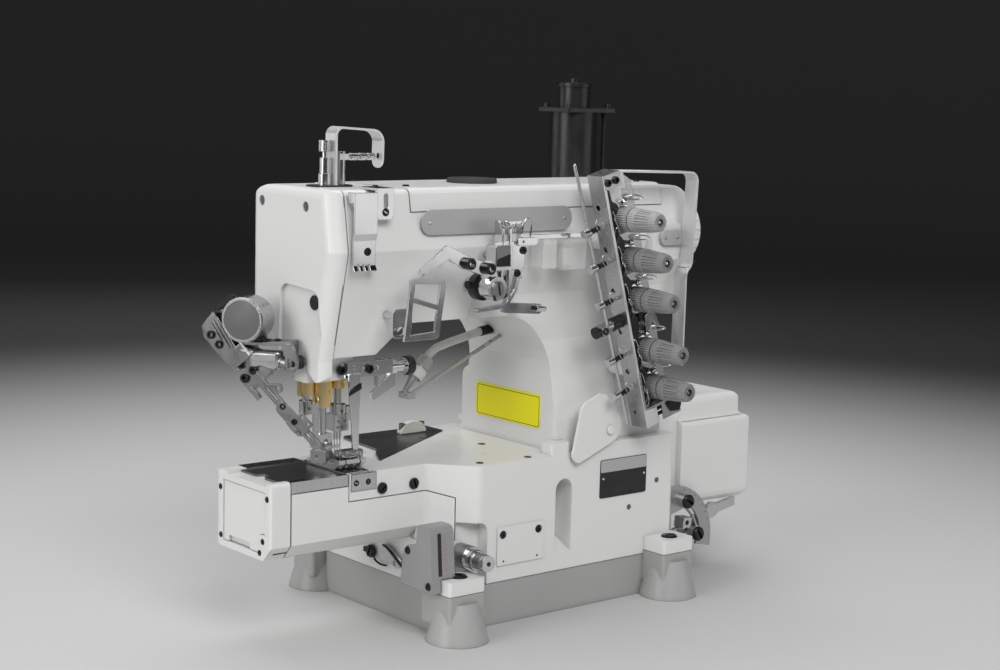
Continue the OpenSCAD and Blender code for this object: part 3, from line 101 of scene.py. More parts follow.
def addFlutes(tree, coords, bump, x, z, count):
    # fine flutes round an axis along Y
    split = put(tree, "SeparateXYZ")
    across = put(tree, "Math", {1: x * mm}, operation="SUBTRACT")
    rise = put(tree, "Math", {1: z * mm}, operation="SUBTRACT")
    around = put(tree, "Math", operation="ARCTAN2")
    many = put(tree, "Math", {1: count}, operation="MULTIPLY")
    wave = put(tree, "Math", operation="SINE")
    flute = put(tree, "Bump", {"Distance": 0.4 * mm})
    for source, output, target, socket in (
            (coords, "Object", split, "Vector"), (split, "X", across, 0), (split, "Z", rise, 0),
            (across, "Value", around, 0), (rise, "Value", around, 1), (around, "Value", many, 0),
            (many, "Value", wave, 0), (wave, "Value", flute, "Height"), (bump, "Normal", flute, "Normal")):
        tree.links.new(source.outputs[output], target.inputs[socket])
    return flute


def finish(name, colour, rough, metal=0.0, edge=0.5, peel=0.0, peelSize=1.0, vary=0.03, brush=None,
           coat=0.0, alpha=1.0, seamShade=0.0, ribs=None):
    mat = bpy.data.materials.new(name)
    mat.use_nodes = True
    tree = mat.node_tree
    links = tree.links
    shader = tree.nodes["Principled BSDF"]
    constants = {"Metallic": metal, "Coat Weight": coat, "Coat Roughness": 0.25, "Alpha": alpha}
    for key, value in constants.items():
        shader.inputs[key].default_value = value
    coords = put(tree, "TexCoord")

    # broad cloud of colour, so that no face is quite flat
    cloud = put(tree, "TexNoise", {"Scale": 11, "Detail": 5})
    tint = put(tree, "Mix", data_type="RGBA")
    tint.inputs["A"].default_value = shade(colour, 1 - vary)
    tint.inputs["B"].default_value = shade(colour, 1 + vary)
    links.new(coords.outputs["Object"], cloud.inputs["Vector"])
    links.new(cloud.outputs["Fac"], tint.inputs["Factor"])
    paint = tint.outputs["Result"]
    # painted shade in seams and corners, from ambient occlusion
    if seamShade:
        paint = addSeamShade(tree, paint, colour, seamShade)
    links.new(paint, shader.inputs["Base Color"])

    # worn and polished patches, and a skin of orange peel or grinding lines
    grain = put(tree, "TexNoise", {"Scale": 70})
    spread = put(tree, "MapRange", {"From Min": 0.3, "From Max": 0.7, "To Min": max(0.03, rough * 0.82),
                                    "To Max": min(1, rough * 1.2)})
    soft = put(tree, "Bevel", {"Radius": edge * mm}, samples=4)
    bump = put(tree, "Bump", {"Distance": 0.1 * mm, "Strength": peel})
    links.new(soft.outputs["Normal"], bump.inputs["Normal"])
    if brush:  # the lines run along the axis with the small scale
        stretch = put(tree, "Mapping", {"Scale": brush})
        grain.inputs["Scale"].default_value = 1
        grain.inputs["Detail"].default_value = 4
        links.new(coords.outputs["Object"], stretch.inputs["Vector"])
        links.new(stretch.outputs["Vector"], grain.inputs["Vector"])
        links.new(grain.outputs["Fac"], bump.inputs["Height"])
    else:
        skin = put(tree, "TexNoise", {"Scale": 700 / peelSize, "Detail": 2})
        links.new(coords.outputs["Object"], grain.inputs["Vector"])
        links.new(coords.outputs["Object"], skin.inputs["Vector"])
        links.new(skin.outputs["Fac"], bump.inputs["Height"])
    links.new(grain.outputs["Fac"], spread.inputs["Value"])
    links.new(spread.outputs["Result"], shader.inputs["Roughness"])
    if ribs:
        bump = addFlutes(tree, coords, bump, *ribs)
    links.new(bump.outputs["Normal"], shader.inputs["Normal"])
    return mat


alongX, alongZ = (25, 900, 900), (900, 900, 25)
# white enamel, with painted shade in its seams
whiteEnamel = {"colour": (0.80, 0.80, 0.79), "seamShade": 0.35}
finishes = {  # one for each slot of the record: name, colour, roughness, metal, soft edge, peel
    "painted_casting": finish("whiteEnamel", rough=0.36, edge=1.1, peel=0.35, coat=0.25, **whiteEnamel),
    "base_grey": finish("greyEnamel", (0.40, 0.40, 0.395), 0.42, edge=1.3, peel=0.45, coat=0.15, seamShade=0.4),
    "motor_white": finish("whiteMoulding", (0.80, 0.80, 0.79), 0.42, edge=1.0, peel=0.3, peelSize=0.6,
                          seamShade=0.2),
    "dark_steel": finish("oxidisedSteel", (0.20, 0.20, 0.205), 0.32, 0.85, 0.3, 0.2, brush=alongX,
                         vary=0.12),
    "oiled_steel": finish("oiledSteel", (0.27, 0.27, 0.275), 0.36, 0.85, 0.6, 0.25, brush=alongX,
                          vary=0.12),
    "bright_steel": finish("groundSteel", (0.60, 0.60, 0.61), 0.24, 1, 0.3, 0.25, brush=alongZ, vary=0.08),
    "spring_steel": finish("springSteel", (0.33, 0.33, 0.34), 0.3, 1, 0.1, 0.1),
    "cast_grey": finish("castGrey", (0.33, 0.33, 0.33), 0.45, 0.2, 0.8, 0.5, seamShade=0.3),
    "chrome_guides": finish("chromePlate", (0.70, 0.70, 0.71), 0.13, 1, 0.7, 0.06, vary=0.05),
    "satin_steel": finish("satinSteel", (0.50, 0.50, 0.505), 0.3, 1, 0.35, 0.3, brush=alongX, vary=0.06),
    "brass": finish("turnedBrass", (0.97, 0.74, 0.38), 0.17, 1, 0.3, 0.04, vary=0.03),
    "belt_rubber": finish("beltRubber", (0.04, 0.04, 0.04), 0.7, 0, 0.3, 0.4),
    "handwheel_plastic": finish("handwheelPlastic", (0.78, 0.78, 0.77), 0.38, 0, 0.6, 0.2, coat=0.2,
                                seamShade=0.3),
    "knob_plastic": finish("knobPlastic", (0.225, 0.225, 0.225), 0.36, 0, 0.3, 0.2, peelSize=0.5, coat=0.2,
                           seamShade=0.4),
    "black_paint": finish("blackPaint", (0.022, 0.022, 0.024), 0.3, 0.3, 0.6, 0.2, vary=0.15),
    "hose_white": finish("hoseTube", (0.66, 0.66, 0.655), 0.3, 0, 0.2, 0.1, coat=0.3),
}
chrome, satin = finishes["chrome_guides"], finishes["satin_steel"]

# finishes that some pieces wear instead of their slot's own
sheetEnamel = finish("sheetEnamel", rough=0.34, edge=0.55, peel=0.3, coat=0.3, **whiteEnamel)
blackOxide = finish("blackOxide", (0.025, 0.025, 0.027), 0.33, 0.6, 0.2, 0.2, vary=0.2)
plugGrey = finish("plugGrey", (0.11, 0.11, 0.11), 0.55, 0, 0.3, 0.5)
clearBox = finish("clearMoulding", (0.93, 0.93, 0.92), 0.16, 0, 0.6, 0.05, alpha=0.38, coat=0.3)
satinPale = finish("satinPale", (0.74, 0.74, 0.745), 0.36, 0.55, 0.5, 0.2, brush=alongX, vary=0.05)
darkSteel = finish("wiperSteel", (0.29, 0.29, 0.295), 0.3, 0.95, 0.7, 0.05, vary=0.04)
turnedSteel = finish("turnedSteel", (0.68, 0.68, 0.685), 0.24, 1, 0.5, 0.15, brush=(900, 60, 900),
                     vary=0.05)
guardSteel = finish("guardSteel", (0.82, 0.82, 0.825), 0.4, 0.6, 0.35, 0.12, brush=alongZ, vary=0.05)
sectorSteel = finish("sectorSteel", (0.44, 0.44, 0.445), 0.36, 0.8, 0.5, 0.2, brush=alongX, vary=0.08)
discGrey = finish("wiperDiscGrey", (0.15, 0.15, 0.15), 0.55, 0.3, 0.2, 0.6, vary=0.12)
greyMoulding = finish("greyMoulding", (0.46, 0.46, 0.46), 0.3, 0.6, 0.4, 0.2)
paleMoulding = finish("paleMoulding", (0.74, 0.74, 0.73), 0.35, 0, 0.4, 0.2)
yellowFilm = finish("yellowFilm", (0.98, 0.89, 0.005), 0.5, 0, 0.1, 0.03, vary=0.01)
blackFilm = finish("blackFilm", (0.014, 0.014, 0.014), 0.55, 0, 0.1, 0.1)
badgeSheet = finish("badgeSheet", (0.50, 0.50, 0.50), 0.4, 0.35, 0.2, 0.1, brush=alongX)
redDot = finish("redDot", (0.42, 0.20, 0.18), 0.5, 0, 0.05)

for part in record["subparts"]:
    cadMaterials = frame["nodes"][part["node"]].data.materials
    cadMaterials.clear()
    cadMaterials.append(finishes[part["material_slot"]])
ownFinishes = {
    "front_bed_cover": sheetEnamel, "bed_end_cap": sheetEnamel, "bed_end_panel": sheetEnamel,
    "access_cover": sheetEnamel, "swing_guard": sheetEnamel, "top_cover": sheetEnamel,
    "wiper_arm": darkSteel, "wiper_bracket": darkSteel, "differential_nut": turnedSteel,
    "lever_sector": sectorSteel, "air_nozzle": greyMoulding, "take_up_guard": guardSteel,
}
for name, mat in ownFinishes.items():
    frame["nodes"][name].data.materials[0] = mat

knobs = {"count": 5, "flutes": 36, "firstTone": 0.52, "tone": 0.36}  # the first knob is paler than the rest
for i in range(1, knobs["count"] + 1):
    knob = edges(f"tension_knob_{i}")
    tone = knobs["firstTone"] if i == 1 else knobs["tone"]
    frame["nodes"][f"tension_knob_{i}"].data.materials[0] = finish(
        f"flutedKnob_{i}", (tone, tone, tone), 0.38, 0, 0.3, 0.1, peelSize=0.5, coat=0.15, seamShade=0.45,
        ribs=(knob.x, knob.z, knobs["flutes"]))
print("finishes set on", len(record["subparts"]), "nodes")


# ways of making a piece

def facing(point, along, up=(0, 0, 1)):
    # placement whose Z leaves the surface
    z = Vector(along).normalized()
    helper = Vector(up) if abs(z.dot(Vector(up))) < 0.95 else Vector((0, 1, 0))
    x = helper.cross(z).normalized()
    turn = Matrix((x, z.cross(x), z)).transposed().to_4x4()
    return Matrix.Translation(Vector(point) * mm) @ turn


def onFront(y):
    # placement of an outline drawn in x and z
    return facing((0, y, 0), front)


def onLeft(x):
    # placement of an outline drawn in -y and z
    return facing((x, 0, 0), left)


def settle(obj, body, slotName, mat=None, smooth=30):
    obj.data.materials.append(mat or finishes[slotName])
    if obj.type == "MESH":
        obj.data.shade_smooth()
        obj.data.set_sharp_from_angle(angle=math.radians(smooth))
    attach(obj, body)
    return obj


def meshPiece(name, verts, faces, body, slotName, mat=None, smooth=30):
    mesh = bpy.data.meshes.new(name)
    mesh.from_pydata(verts, [], faces)
    mesh.validate()
    obj = bpy.data.objects.new(name, mesh)
    scene.collection.objects.link(obj)
    return settle(obj, body, slotName, mat, smooth)


def reach(shape, size, angle):
    # radius of a recess at an angle
    c, s = abs(math.cos(angle)), abs(math.sin(angle))
    tiny = 1e-4
    if shape == "hex":
        step = math.radians(60)
        return size / math.cos((angle % step) - step / 2)
    if shape == "slot":
        return min(size / max(c, tiny), size * 0.2 / max(s, tiny))
    if shape == "cross":
        return min(size / max(c, s), size * 0.25 / max(min(c, s), tiny))
    return size


def turnedShape(profile, place, steps=48, turn=0.0):
    # rings of (size, height) or (size, height, shape) round the placement's Z
    verts, faces, rings = [], [], []
    for row in profile:
        size, height = row[:2]
        shape = row[2] if len(row) > 2 else "round"
        if size == 0:
            rings.append([len(verts)])
            verts.append(place @ Vector((0, 0, height * mm)))
            continue
        rings.append(list(range(len(verts), len(verts) + steps)))
        for i in range(steps):
            a = 2 * math.pi * i / steps
            r = reach(shape, size, a) * mm
            verts.append(place @ Vector((r * math.cos(a + turn), r * math.sin(a + turn), height * mm)))
    for low, high in zip(rings, rings[1:]):
        if len(low) == 1 and len(high) == 1:
            continue
        for i in range(steps):
            j = (i + 1) % steps
            if len(low) == 1:
                faces.append((low[0], high[j], high[i]))
            elif len(high) == 1:
                faces.append((low[i], low[j], high[0]))
            else:
                faces.append((low[i], low[j], high[j], high[i]))
    return verts, faces


def turned(name, profile, point, along, slotName, mat=None, body=home, steps=48):
    verts, faces = turnedShape(profile, facing(point, along), steps)
    return meshPiece(name, verts, faces, body, slotName, mat)


def screwProfile(kind, d, h):
    # head of diameter d that stands h above the surface, sunk a little into it
    r, sunk = d / 2, -0.3
    rim = [(0, sunk), (r, sunk), (r, h - 0.12 * d), (r - 0.1 * d, h)]
    if kind == "socket":
        return rim + [(r * 0.62, h), (r * 0.5, h - 0.05 * d, "hex"), (r * 0.5, h - 0.4 * d, "hex"),
                      (0, h - 0.45 * d)]
    if kind == "slot":
        return rim + [(r * 0.86, h, "slot"), (r * 0.86, h - 0.25 * d, "slot"), (0, h - 0.25 * d)]
    if kind == "cross":
        return [(0, sunk), (r, sunk), (r, h * 0.35), (r * 0.82, h * 0.8), (r * 0.62, h),
                (r * 0.5, h, "cross"), (r * 0.34, h - 0.2 * d, "cross"), (0, h - 0.25 * d)]
    return [(0, sunk), (r, sunk), (r, h * 0.55), (r * 0.8, h), (0, h * 1.08)]  # plain plug or rivet


def screws(name, kind, d, h, points, along, slotName="black_paint", mat=None, body=home):
    verts, faces = [], []
    for point in points:
        v, f = turnedShape(screwProfile(kind, d, h), facing(point, along), 36, random.uniform(0, 3))
        faces += [tuple(i + len(verts) for i in face) for face in f]
        verts += v
    return meshPiece(name, verts, faces, body, slotName, mat or blackOxide)


def roundRect(x0, y0, x1, y1, r, steps=6):
    points = []
    corners = ((x1 - r, y1 - r, 0), (x0 + r, y1 - r, 90), (x0 + r, y0 + r, 180), (x1 - r, y0 + r, 270))
    for cx, cy, a in corners:
        points += [(cx + r * math.cos(math.radians(a + 90 * i / steps)),
                    cy + r * math.sin(math.radians(a + 90 * i / steps))) for i in range(steps + 1)]
    return points


def circle(cx, cy, r, steps=28):
    return [(cx + r * math.cos(2 * math.pi * i / steps), cy + r * math.sin(2 * math.pi * i / steps))
            for i in range(steps)]


def plate(name, outlines, thick, place, slotName, mat=None, body=home, edge=0.15):
    # flat sheet with eased edges: the first outline is its rim and the rest are holes
    curve = bpy.data.curves.new(name, "CURVE")
    curve.dimensions = "2D"
    curve.fill_mode = "BOTH"
    curve.extrude = (thick / 2 - edge) * mm
    curve.bevel_depth = edge * mm
    curve.bevel_resolution = 1
    curve.offset = -edge * mm
    for outline in outlines:
        line = curve.splines.new("POLY")
        line.points.add(len(outline) - 1)
        for p, (x, y) in zip(line.points, outline):
            p.co = (x * mm, y * mm, 0, 1)
        line.use_cyclic_u = True
    obj = bpy.data.objects.new(name, curve)
    scene.collection.objects.link(obj)
    obj.matrix_world = place @ Matrix.Translation((0, 0, thick / 2 * mm))
    return settle(obj, body, slotName, mat)


def bentStrip(points, radii, thick, steps=7):
    # outline of a strip of even thickness along a bent line, each bend with its radius
    path = []
    for i, (point, radius) in enumerate(zip(points, radii)):
        here = Vector(point)
        if not radius:
            path.append(here)
            continue
        before = (Vector(points[i - 1]) - here).normalized()
        after = (Vector(points[i + 1]) - here).normalized()
        half = before.angle(after) / 2
        middle = here + (before + after).normalized() * (radius / math.sin(half))
        start = here + before * (radius / math.tan(half)) - middle
        end = here + after * (radius / math.tan(half)) - middle
        for k in range(steps + 1):
            path.append(middle + start.lerp(end, k / steps).normalized() * radius)
    outer, inner = [], []
    for i, here in enumerate(path):
        along = (path[min(i + 1, len(path) - 1)] - path[max(i - 1, 0)]).normalized()
        across = Vector((-along.y, along.x)) * thick / 2
        outer.append(tuple(here + across))
        inner.append(tuple(here - across))
    return outer + inner[::-1]


def eased(points, steps=6):
    # smooth line through every point
    if len(points) < 3:
        return points
    ends = [points[0]] + list(points) + [points[-1]]
    out = []
    for a, b, c, d in zip(ends, ends[1:], ends[2:], ends[3:]):
        for i in range(steps):
            t = i / steps
            out.append([0.5 * (2 * q + (r - p) * t + (2 * p - 5 * q + 4 * r - s) * t * t
                               + (3 * q - p - 3 * r + s) * t ** 3) for p, q, r, s in zip(a, b, c, d)])
    return out + [list(points[-1])]


def wire(name, points, d, slotName, mat=None, body=home, smooth=True):
    curve = bpy.data.curves.new(name, "CURVE")
    curve.dimensions = "3D"
    curve.bevel_depth = d / 2 * mm
    curve.bevel_resolution = 4
    curve.use_fill_caps = True
    path = eased(points) if smooth else points
    line = curve.splines.new("POLY")
    line.points.add(len(path) - 1)
    for p, co in zip(line.points, path):
        p.co = [c * mm for c in co] + [1]
    obj = bpy.data.objects.new(name, curve)
    scene.collection.objects.link(obj)
    return settle(obj, body, slotName, mat)


def coil(name, point, along, d, length, turns, wireD, slotName, steps=16):
    place = facing(point, along)
    r = d / 2
    points = []
    for i in range(turns * steps + 1):
        a = 2 * math.pi * i / steps
        climb = length * i / (turns * steps)
        p = place @ Vector((r * math.cos(a) * mm, r * math.sin(a) * mm, climb * mm))
        points.append([c / mm for c in p])
    return wire(name, points, wireD, slotName, smooth=False)


# camera
view = {"place": (-1.059, -1.271, 0.466), "azimuth": -39.71, "elevation": 7.92, "roll": 1.473, "lens": 66.3}
a, e, r = (math.radians(view[k]) for k in ("azimuth", "elevation", "roll"))
backward = Vector((math.sin(a) * math.cos(e), -math.cos(a) * math.cos(e), math.sin(e)))
level = Vector((math.cos(a), math.sin(a), 0))
upward = backward.cross(level)
turn = Matrix((math.cos(r) * level + math.sin(r) * upward, math.cos(r) * upward - math.sin(r) * level,
               backward))
camera = bpy.data.objects.new("camera", bpy.data.cameras.new("camera"))
camera.data.lens = view["lens"]
camera.data.sensor_width = 36
camera.data.clip_end = 50
camera.matrix_world = Matrix.Translation(view["place"]) @ turn.transposed().to_4x4()
scene.collection.objects.link(camera)
scene.camera = camera
scene.view_settings.view_transform = "Standard"

# soft boxes round the machine: place in metres, width, height, watts
lamps = {
    "keyLamp": ((-0.7, -1.9, 1.75), 1.5, 1.1, 35),
    "leftLamp": ((-2.1, -0.1, 0.9), 1.2, 1.4, 19),
    "topLamp": ((0.1, 0.5, 1.9), 1.6, 1.2, 13),
    "frontPanel": ((1.35, -1.65, 0.42), 1.5, 0.7, 3.2),
    "sidePanel": ((-1.45, 1.65, 0.42), 1.3, 0.7, 3),
    "backLamp": ((0.9, 1.9, 1.1), 1.4, 1.0, 10),
}
lampTarget = Vector((-0.04, 0, 0.22))
for name, (place, wide, high, watts) in lamps.items():
    lamp = bpy.data.lights.new(name, "AREA")
    lamp.shape = "RECTANGLE"
    lamp.size, lamp.size_y, lamp.energy = wide, high, watts
    obj = bpy.data.objects.new(name, lamp)
    obj.location = place
    obj.rotation_mode = "QUATERNION"
    obj.rotation_quaternion = (lampTarget - Vector(place)).to_track_quat("-Z", "Y")
    obj.visible_camera = False
    obj.visible_glossy = name != "backLamp"
    scene.collection.objects.link(obj)

# sky light, which polished metal sees as a dark backdrop
skyLight = {"light": (0.62, 0.63, 0.64), "mirrored": (0.12, 0.12, 0.122), "strength": 0.58}
world = bpy.data.worlds.new("studio")
world.use_nodes = True
tree = world.node_tree
rays, sky = put(tree, "LightPath"), put(tree, "Mix", data_type="RGBA")
sky.inputs["A"].default_value = shade(skyLight["light"])
sky.inputs["B"].default_value = shade(skyLight["mirrored"])
tree.links.new(rays.outputs["Is Glossy Ray"], sky.inputs["Factor"])
tree.links.new(sky.outputs["Result"], tree.nodes["Background"].inputs["Color"])
tree.nodes["Background"].inputs["Strength"].default_value = skyLight["strength"]
scene.world = world

# round floor that sweeps up into a wall far outside the lamps, pale near the machine and dark further out:
# a painted pool of light
sweep = {"flat": 3.4, "bend": 1.2, "wall": 4.2, "near": (0.58, 0.58, 0.575), "far": (0.045, 0.045, 0.046),
         "fadeFrom": 0.5, "fadeTo": 1.7, "rough": 0.75}
bend = [(sweep["flat"] + sweep["bend"] * math.sin(t), sweep["bend"] * (1 - math.cos(t)))
        for t in (math.radians(15 * i) for i in range(1, 7))]
profile = [(0, 0), (2.2, 0), (sweep["flat"], 0)] + bend + [(sweep["flat"] + sweep["bend"], sweep["wall"])]
verts, faces = turnedShape([(r / mm, h / mm) for r, h in profile], Matrix.Identity(4), 96)
mesh = bpy.data.meshes.new("floor")
mesh.from_pydata(verts, [], faces)
floor = bpy.data.objects.new("floor", mesh)
floor.data.shade_smooth()
paleFloor = bpy.data.materials.new("paleFloor")
paleFloor.use_nodes = True
tree = paleFloor.node_tree
shader = tree.nodes["Principled BSDF"]
coords, distance = put(tree, "TexCoord"), put(tree, "VectorMath", operation="LENGTH")
fade = put(tree, "MapRange", {"From Min": sweep["fadeFrom"], "From Max": sweep["fadeTo"]},
           interpolation_type="SMOOTHSTEP")
tone = put(tree, "Mix", data_type="RGBA")
tone.inputs["A"].default_value, tone.inputs["B"].default_value = shade(sweep["near"]), shade(sweep["far"])
tree.links.new(coords.outputs["Object"], distance.inputs[0])
tree.links.new(distance.outputs["Value"], fade.inputs["Value"])
tree.links.new(fade.outputs["Result"], tone.inputs["Factor"])
tree.links.new(tone.outputs["Result"], shader.inputs["Base Color"])
shader.inputs["Roughness"].default_value = sweep["rough"]
floor.data.materials.append(paleFloor)
scene.collection.objects.link(floor)
print("camera, lamps and floor ready")


# arm and face cover
badge = {"left": 86, "right": 250, "below": 27.5, "half": 10.5, "y": -76}
x0, x1, z = face.x0 + badge["left"], face.x0 + badge["right"], arm.z1 - badge["below"]
plate("armBadge", [roundRect(x0, -badge["half"], x1, badge["half"], badge["half"] - 0.3, 10)], 0.6,
      facing((0, badge["y"], z), front), "satin_steel", badgeSheet, edge=0.1)
screws("badgeRivets", "plain", 3, 1.2, [(x, badge["y"] - 0.4, z) for x in (x0 + 8, x1 - 9)], front,
       "satin_steel", chrome)
facePlugs = {"d": 7.8, "places": [(29, 361.5), (-36, 360.5), (18, 262)], "hole": (-46, 284)}  # y and z
screws("faceCoverPlugs", "plain", facePlugs["d"], 1.2,
       [(face.x0 + 2.2, y, z) for y, z in facePlugs["places"]], left, mat=plugGrey)
turned("faceHolePlug", [(0, 0), (5.6, 0), (5.9, 1.2), (5.2, 1.8), (4.4, 1.2), (0, 1)],
       (face.x0 + 3.4, *facePlugs["hole"]), left, "black_paint")
oilCap = {"x": -58, "y": -22, "r": 22, "h": 4.8}
r, h = oilCap["r"], oilCap["h"]
turned("oilCap", [(0, 0), (r - 0.5, 0), (r, 0.6), (r - 0.2, h - 0.8), (r - 1.2, h), (r - 4.6, h),
                  (r - 5.4, h - 0.8), (0, h - 1)], (oilCap["x"], oilCap["y"], arm.z1 - 0.1), top,
       "black_paint", finishes["belt_rubber"])
gasket = {"x0": -226, "x1": -186, "y0": -31, "y1": -11, "r": 8, "bars": (-195, -208.5), "barY": -21}
rim = roundRect(gasket["x0"], gasket["y0"], gasket["x1"], gasket["y1"], gasket["r"])
plate("barGasket", [rim] + [circle(x, gasket["barY"], 6) for x in gasket["bars"]], 1.2,
      facing((0, 0, face.z1), top, back), "black_paint", edge=0.3)
coverScrews = [(-150, -50), (112, -50), (112, 24), (-150, 24)]
screws("topCoverScrews", "socket", 6, 2.2, [(x, y, arm.z1) for x, y in coverScrews], top, "painted_casting")
turned("armPinHole", [(0, 0), (2.6, 0), (2.6, 0.4), (1.9, 0.5), (1.8, -0.2), (0, -0.2)], (-168, -64.6, 282),
       front, "black_paint", blackOxide)

# pair of clear oil boxes on the arm's front, the left one a little lower
oilBox = {"low": 304, "high": 336, "deep": 17, "spans": [(-36, -20), (-13, 14)], "inset": 2}
for i, (x0, x1) in enumerate(oilBox["spans"]):
    inset = oilBox["inset"] * (1 - i)
    plate(f"oilBox_{i + 1}", [roundRect(x0, oilBox["low"] + inset, x1, oilBox["high"] - inset, 3)],
          oilBox["deep"], onFront(-77), "hose_white", clearBox, edge=1.2)
plate("oilBoxPad", [roundRect(-8, 307, 8, 322, 2)], 9, onFront(-80), "hose_white", edge=0.8)
plate("oilBoxStrip", [roundRect(-52, 332.5, 12, 336.5, 1)], 2, onFront(-94), "chrome_guides")
print("arm dressed")

# plates on the column and the base
yellow = {"y0": -57.5, "y1": 33, "z0": 158.5, "z1": 189, "x": -2, "margin": 1.6, "line": 0.5}
w0, w1, z0, z1 = -yellow["y1"], -yellow["y0"], yellow["z0"], yellow["z1"]
outer, inner = yellow["margin"], yellow["margin"] + yellow["line"]
plate("yellowPlate", [roundRect(w0, z0, w1, z1, 2.4)], 0.4, onLeft(yellow["x"]), "painted_casting",
      yellowFilm, edge=0.05)
plate("yellowPlateLine", [roundRect(w0 + outer, z0 + outer, w1 - outer, z1 - outer, 1.4),
                          roundRect(w0 + inner, z0 + inner, w1 - inner, z1 - inner, 1)], 0.1,
      onLeft(yellow["x"] - 0.4), "black_paint", blackFilm, edge=0.01)
namePlate = {"x0": 42, "x1": 99, "z0": 96, "z1": 131, "y": -90, "band": 119.5}
x0, x1, z1, y = namePlate["x0"], namePlate["x1"], namePlate["z1"], namePlate["y"]
plate("basePlateDark", [roundRect(x0, namePlate["z0"], x1, z1, 2)], 0.6, onFront(y), "black_paint",
      blackFilm, edge=0.1)
plate("basePlateBand", [roundRect(x0 + 0.4, namePlate["band"], x1 - 0.4, z1 - 0.4, 1.6)], 0.3,
      onFront(y - 0.6), "satin_steel", badgeSheet, edge=0.05)
screws("basePlateRivets", "plain", 2.6, 0.9, [(x, y - 0.6, 114) for x in (x0 + 3.5, x1 - 3.5)], front,
       "satin_steel", chrome)

# bed and base
deck = {"level": bed.z1 - 10.4, "screws": [(-87, -78), (-36, -81), (-34, -15), (2, -38)]}
screws("deckScrews", "slot", 8, 0.3, [(x, y, deck["level"]) for x, y in deck["screws"]], top,
       "painted_casting")
screws("bedFrontScrews", "slot", 9.6, 2.4, [(-173, -55.5, 126), (-140, -55.5, 126)], front)
screws("needlePlateScrews", "slot", 5.4, 0.5, [(-199, -55.6, 133.2), (-187, -55.6, 133.2)], front)
endCap = {"x": edges("bed_end_cap").x0, "screws": [(21, 126.5), (-50, 128.8), (20, 86), (-44, 93)],
          "pin": (-39.5, 83)}
screws("endCapScrews", "slot", 5.4, 0.5, [(endCap["x"], y, z) for y, z in endCap["screws"]], left)
screws("endPinHole", "slot", 5.4, 0.5, [(endCap["x"], *endCap["pin"])], left)
cover = edges("access_cover")
screws("accessCoverScrews", "slot", 7.4, 0.8, [(-70, cover.y0, 79), (-30, cover.y0, 79)], front)
screws("accessCoverPins", "plain", 1.8, 0.2, [(-69, cover.y0, 55.5), (-31, cover.y0, 55.5)], front)
screws("baseFrontPlugs", "plain", 5, 0.4, [(79, -90, 84), (113, -90, 105)], front, mat=plugGrey)
screws("baseFrontPlugs2", "plain", 3.6, 0.4, [(80, -90, 100)], front, mat=plugGrey)

# feed linkage on the base's left face
plate("feedLink", [[(9, 63), (14, 64.5), (26, 61), (37, 55), (38, 49), (32, 46.5), (18, 50), (9, 55)],
                   circle(28.7, 50.6, 2)], 2, onLeft(-137.2), "satin_steel", edge=0.3)
screws("feedLinkScrew", "slot", 11.5, 3, [(-137, 7.7, 53.3)], left)
wire("feedLinkHook", [(-138, 3, 49), (-138.4, -1, 46.5), (-138.4, -8, 45), (-138, -15.5, 45.4)], 1.8,
     "black_paint", blackOxide)
wire("feedLinkRod", [(-138.6, -12, 63), (-140, -20, 62), (-141, -32, 56.5), (-141, -42, 51)], 2.4,
     "black_paint", blackOxide)
plate("feedLinkClip", [[(-21, 50.5), (-13, 50.5), (-15, 55), (-20, 55)]], 2, onLeft(-135), "black_paint",
      blackOxide, edge=0.2)

# bolts in the lugs, the guard's pivot and the wing's half-round tab
lugs = [m for m in record["mounts"] if m["kind"] == "bolt_pattern"][0]
halfX, halfY = lugs["dims"]["spacing_x_mm"] / 2, lugs["dims"]["spacing_y_mm"] / 2
boltX, boltY, boltZ = (c / mm for c in lugs["pos_m"])
screws("lugBolts", "slot", 16, 1.6, [(boltX + i * halfX, boltY + j * halfY, boltZ)
                                     for i in (-1, 1) for j in (-1, 1)], top)
screws("guardPivotCap", "plain", 8.4, 1.2, [(47, edges("swing_guard").y0, 159.5)], front, "painted_casting",
       finishes["painted_casting"], "swing_guard")
wingTab = {"x": -54, "y": 66.6, "half": 14.6, "rise": 11, "below": 9, "thick": 7.2, "steps": 14}
foot = edges("cloth_wing").z1 - wingTab["below"]
turns = [math.pi * i / wingTab["steps"] for i in range(wingTab["steps"] + 1)]
plate("wingTab", [[(wingTab["x"] - wingTab["half"] * math.cos(t), foot + wingTab["rise"] * math.sin(t))
                   for t in turns]], wingTab["thick"], onFront(wingTab["y"]), "hose_white", paleMoulding,
      edge=0.8)
print("bed and base dressed")

# differential bracket: its face slopes, with a slot and a red scale
bracket = edges("differential_bracket")
scale = {"slope": 0.0852, "slotX": -148.15, "lineX": -142.8, "dotX": -141, "z": 75.5, "dots": 8,
         "step": 4.2}
slope = (0, -1, scale["slope"])
faceY = bracket.y0 + scale["slope"] * 32
screws("diffBracketScrews", "slot", 7, 1, [(bracket.x0, -71.5, 74), (bracket.x0, -100.5, 49)], left)
rises = [scale["step"] * i for i in range(scale["dots"])]
screws("diffDots", "plain", 1.3, 0.1, [(scale["dotX"], bracket.y0 - 0.02 + scale["slope"] * (14.5 + rise),
                                        58 + rise) for rise in rises], front, "painted_casting", redDot)
plate("diffSlot", [roundRect(-1.8, -18, 1.8, 18, 0.8)], 0.3,
      facing((scale["slotX"], faceY, scale["z"]), slope), "black_paint", blackFilm, edge=0.05)
plate("diffScale", [roundRect(-0.2, -15, 0.2, 17, 0.1)], 0.1,
      facing((scale["lineX"], faceY, scale["z"]), slope), "painted_casting", redDot, edge=0.02)
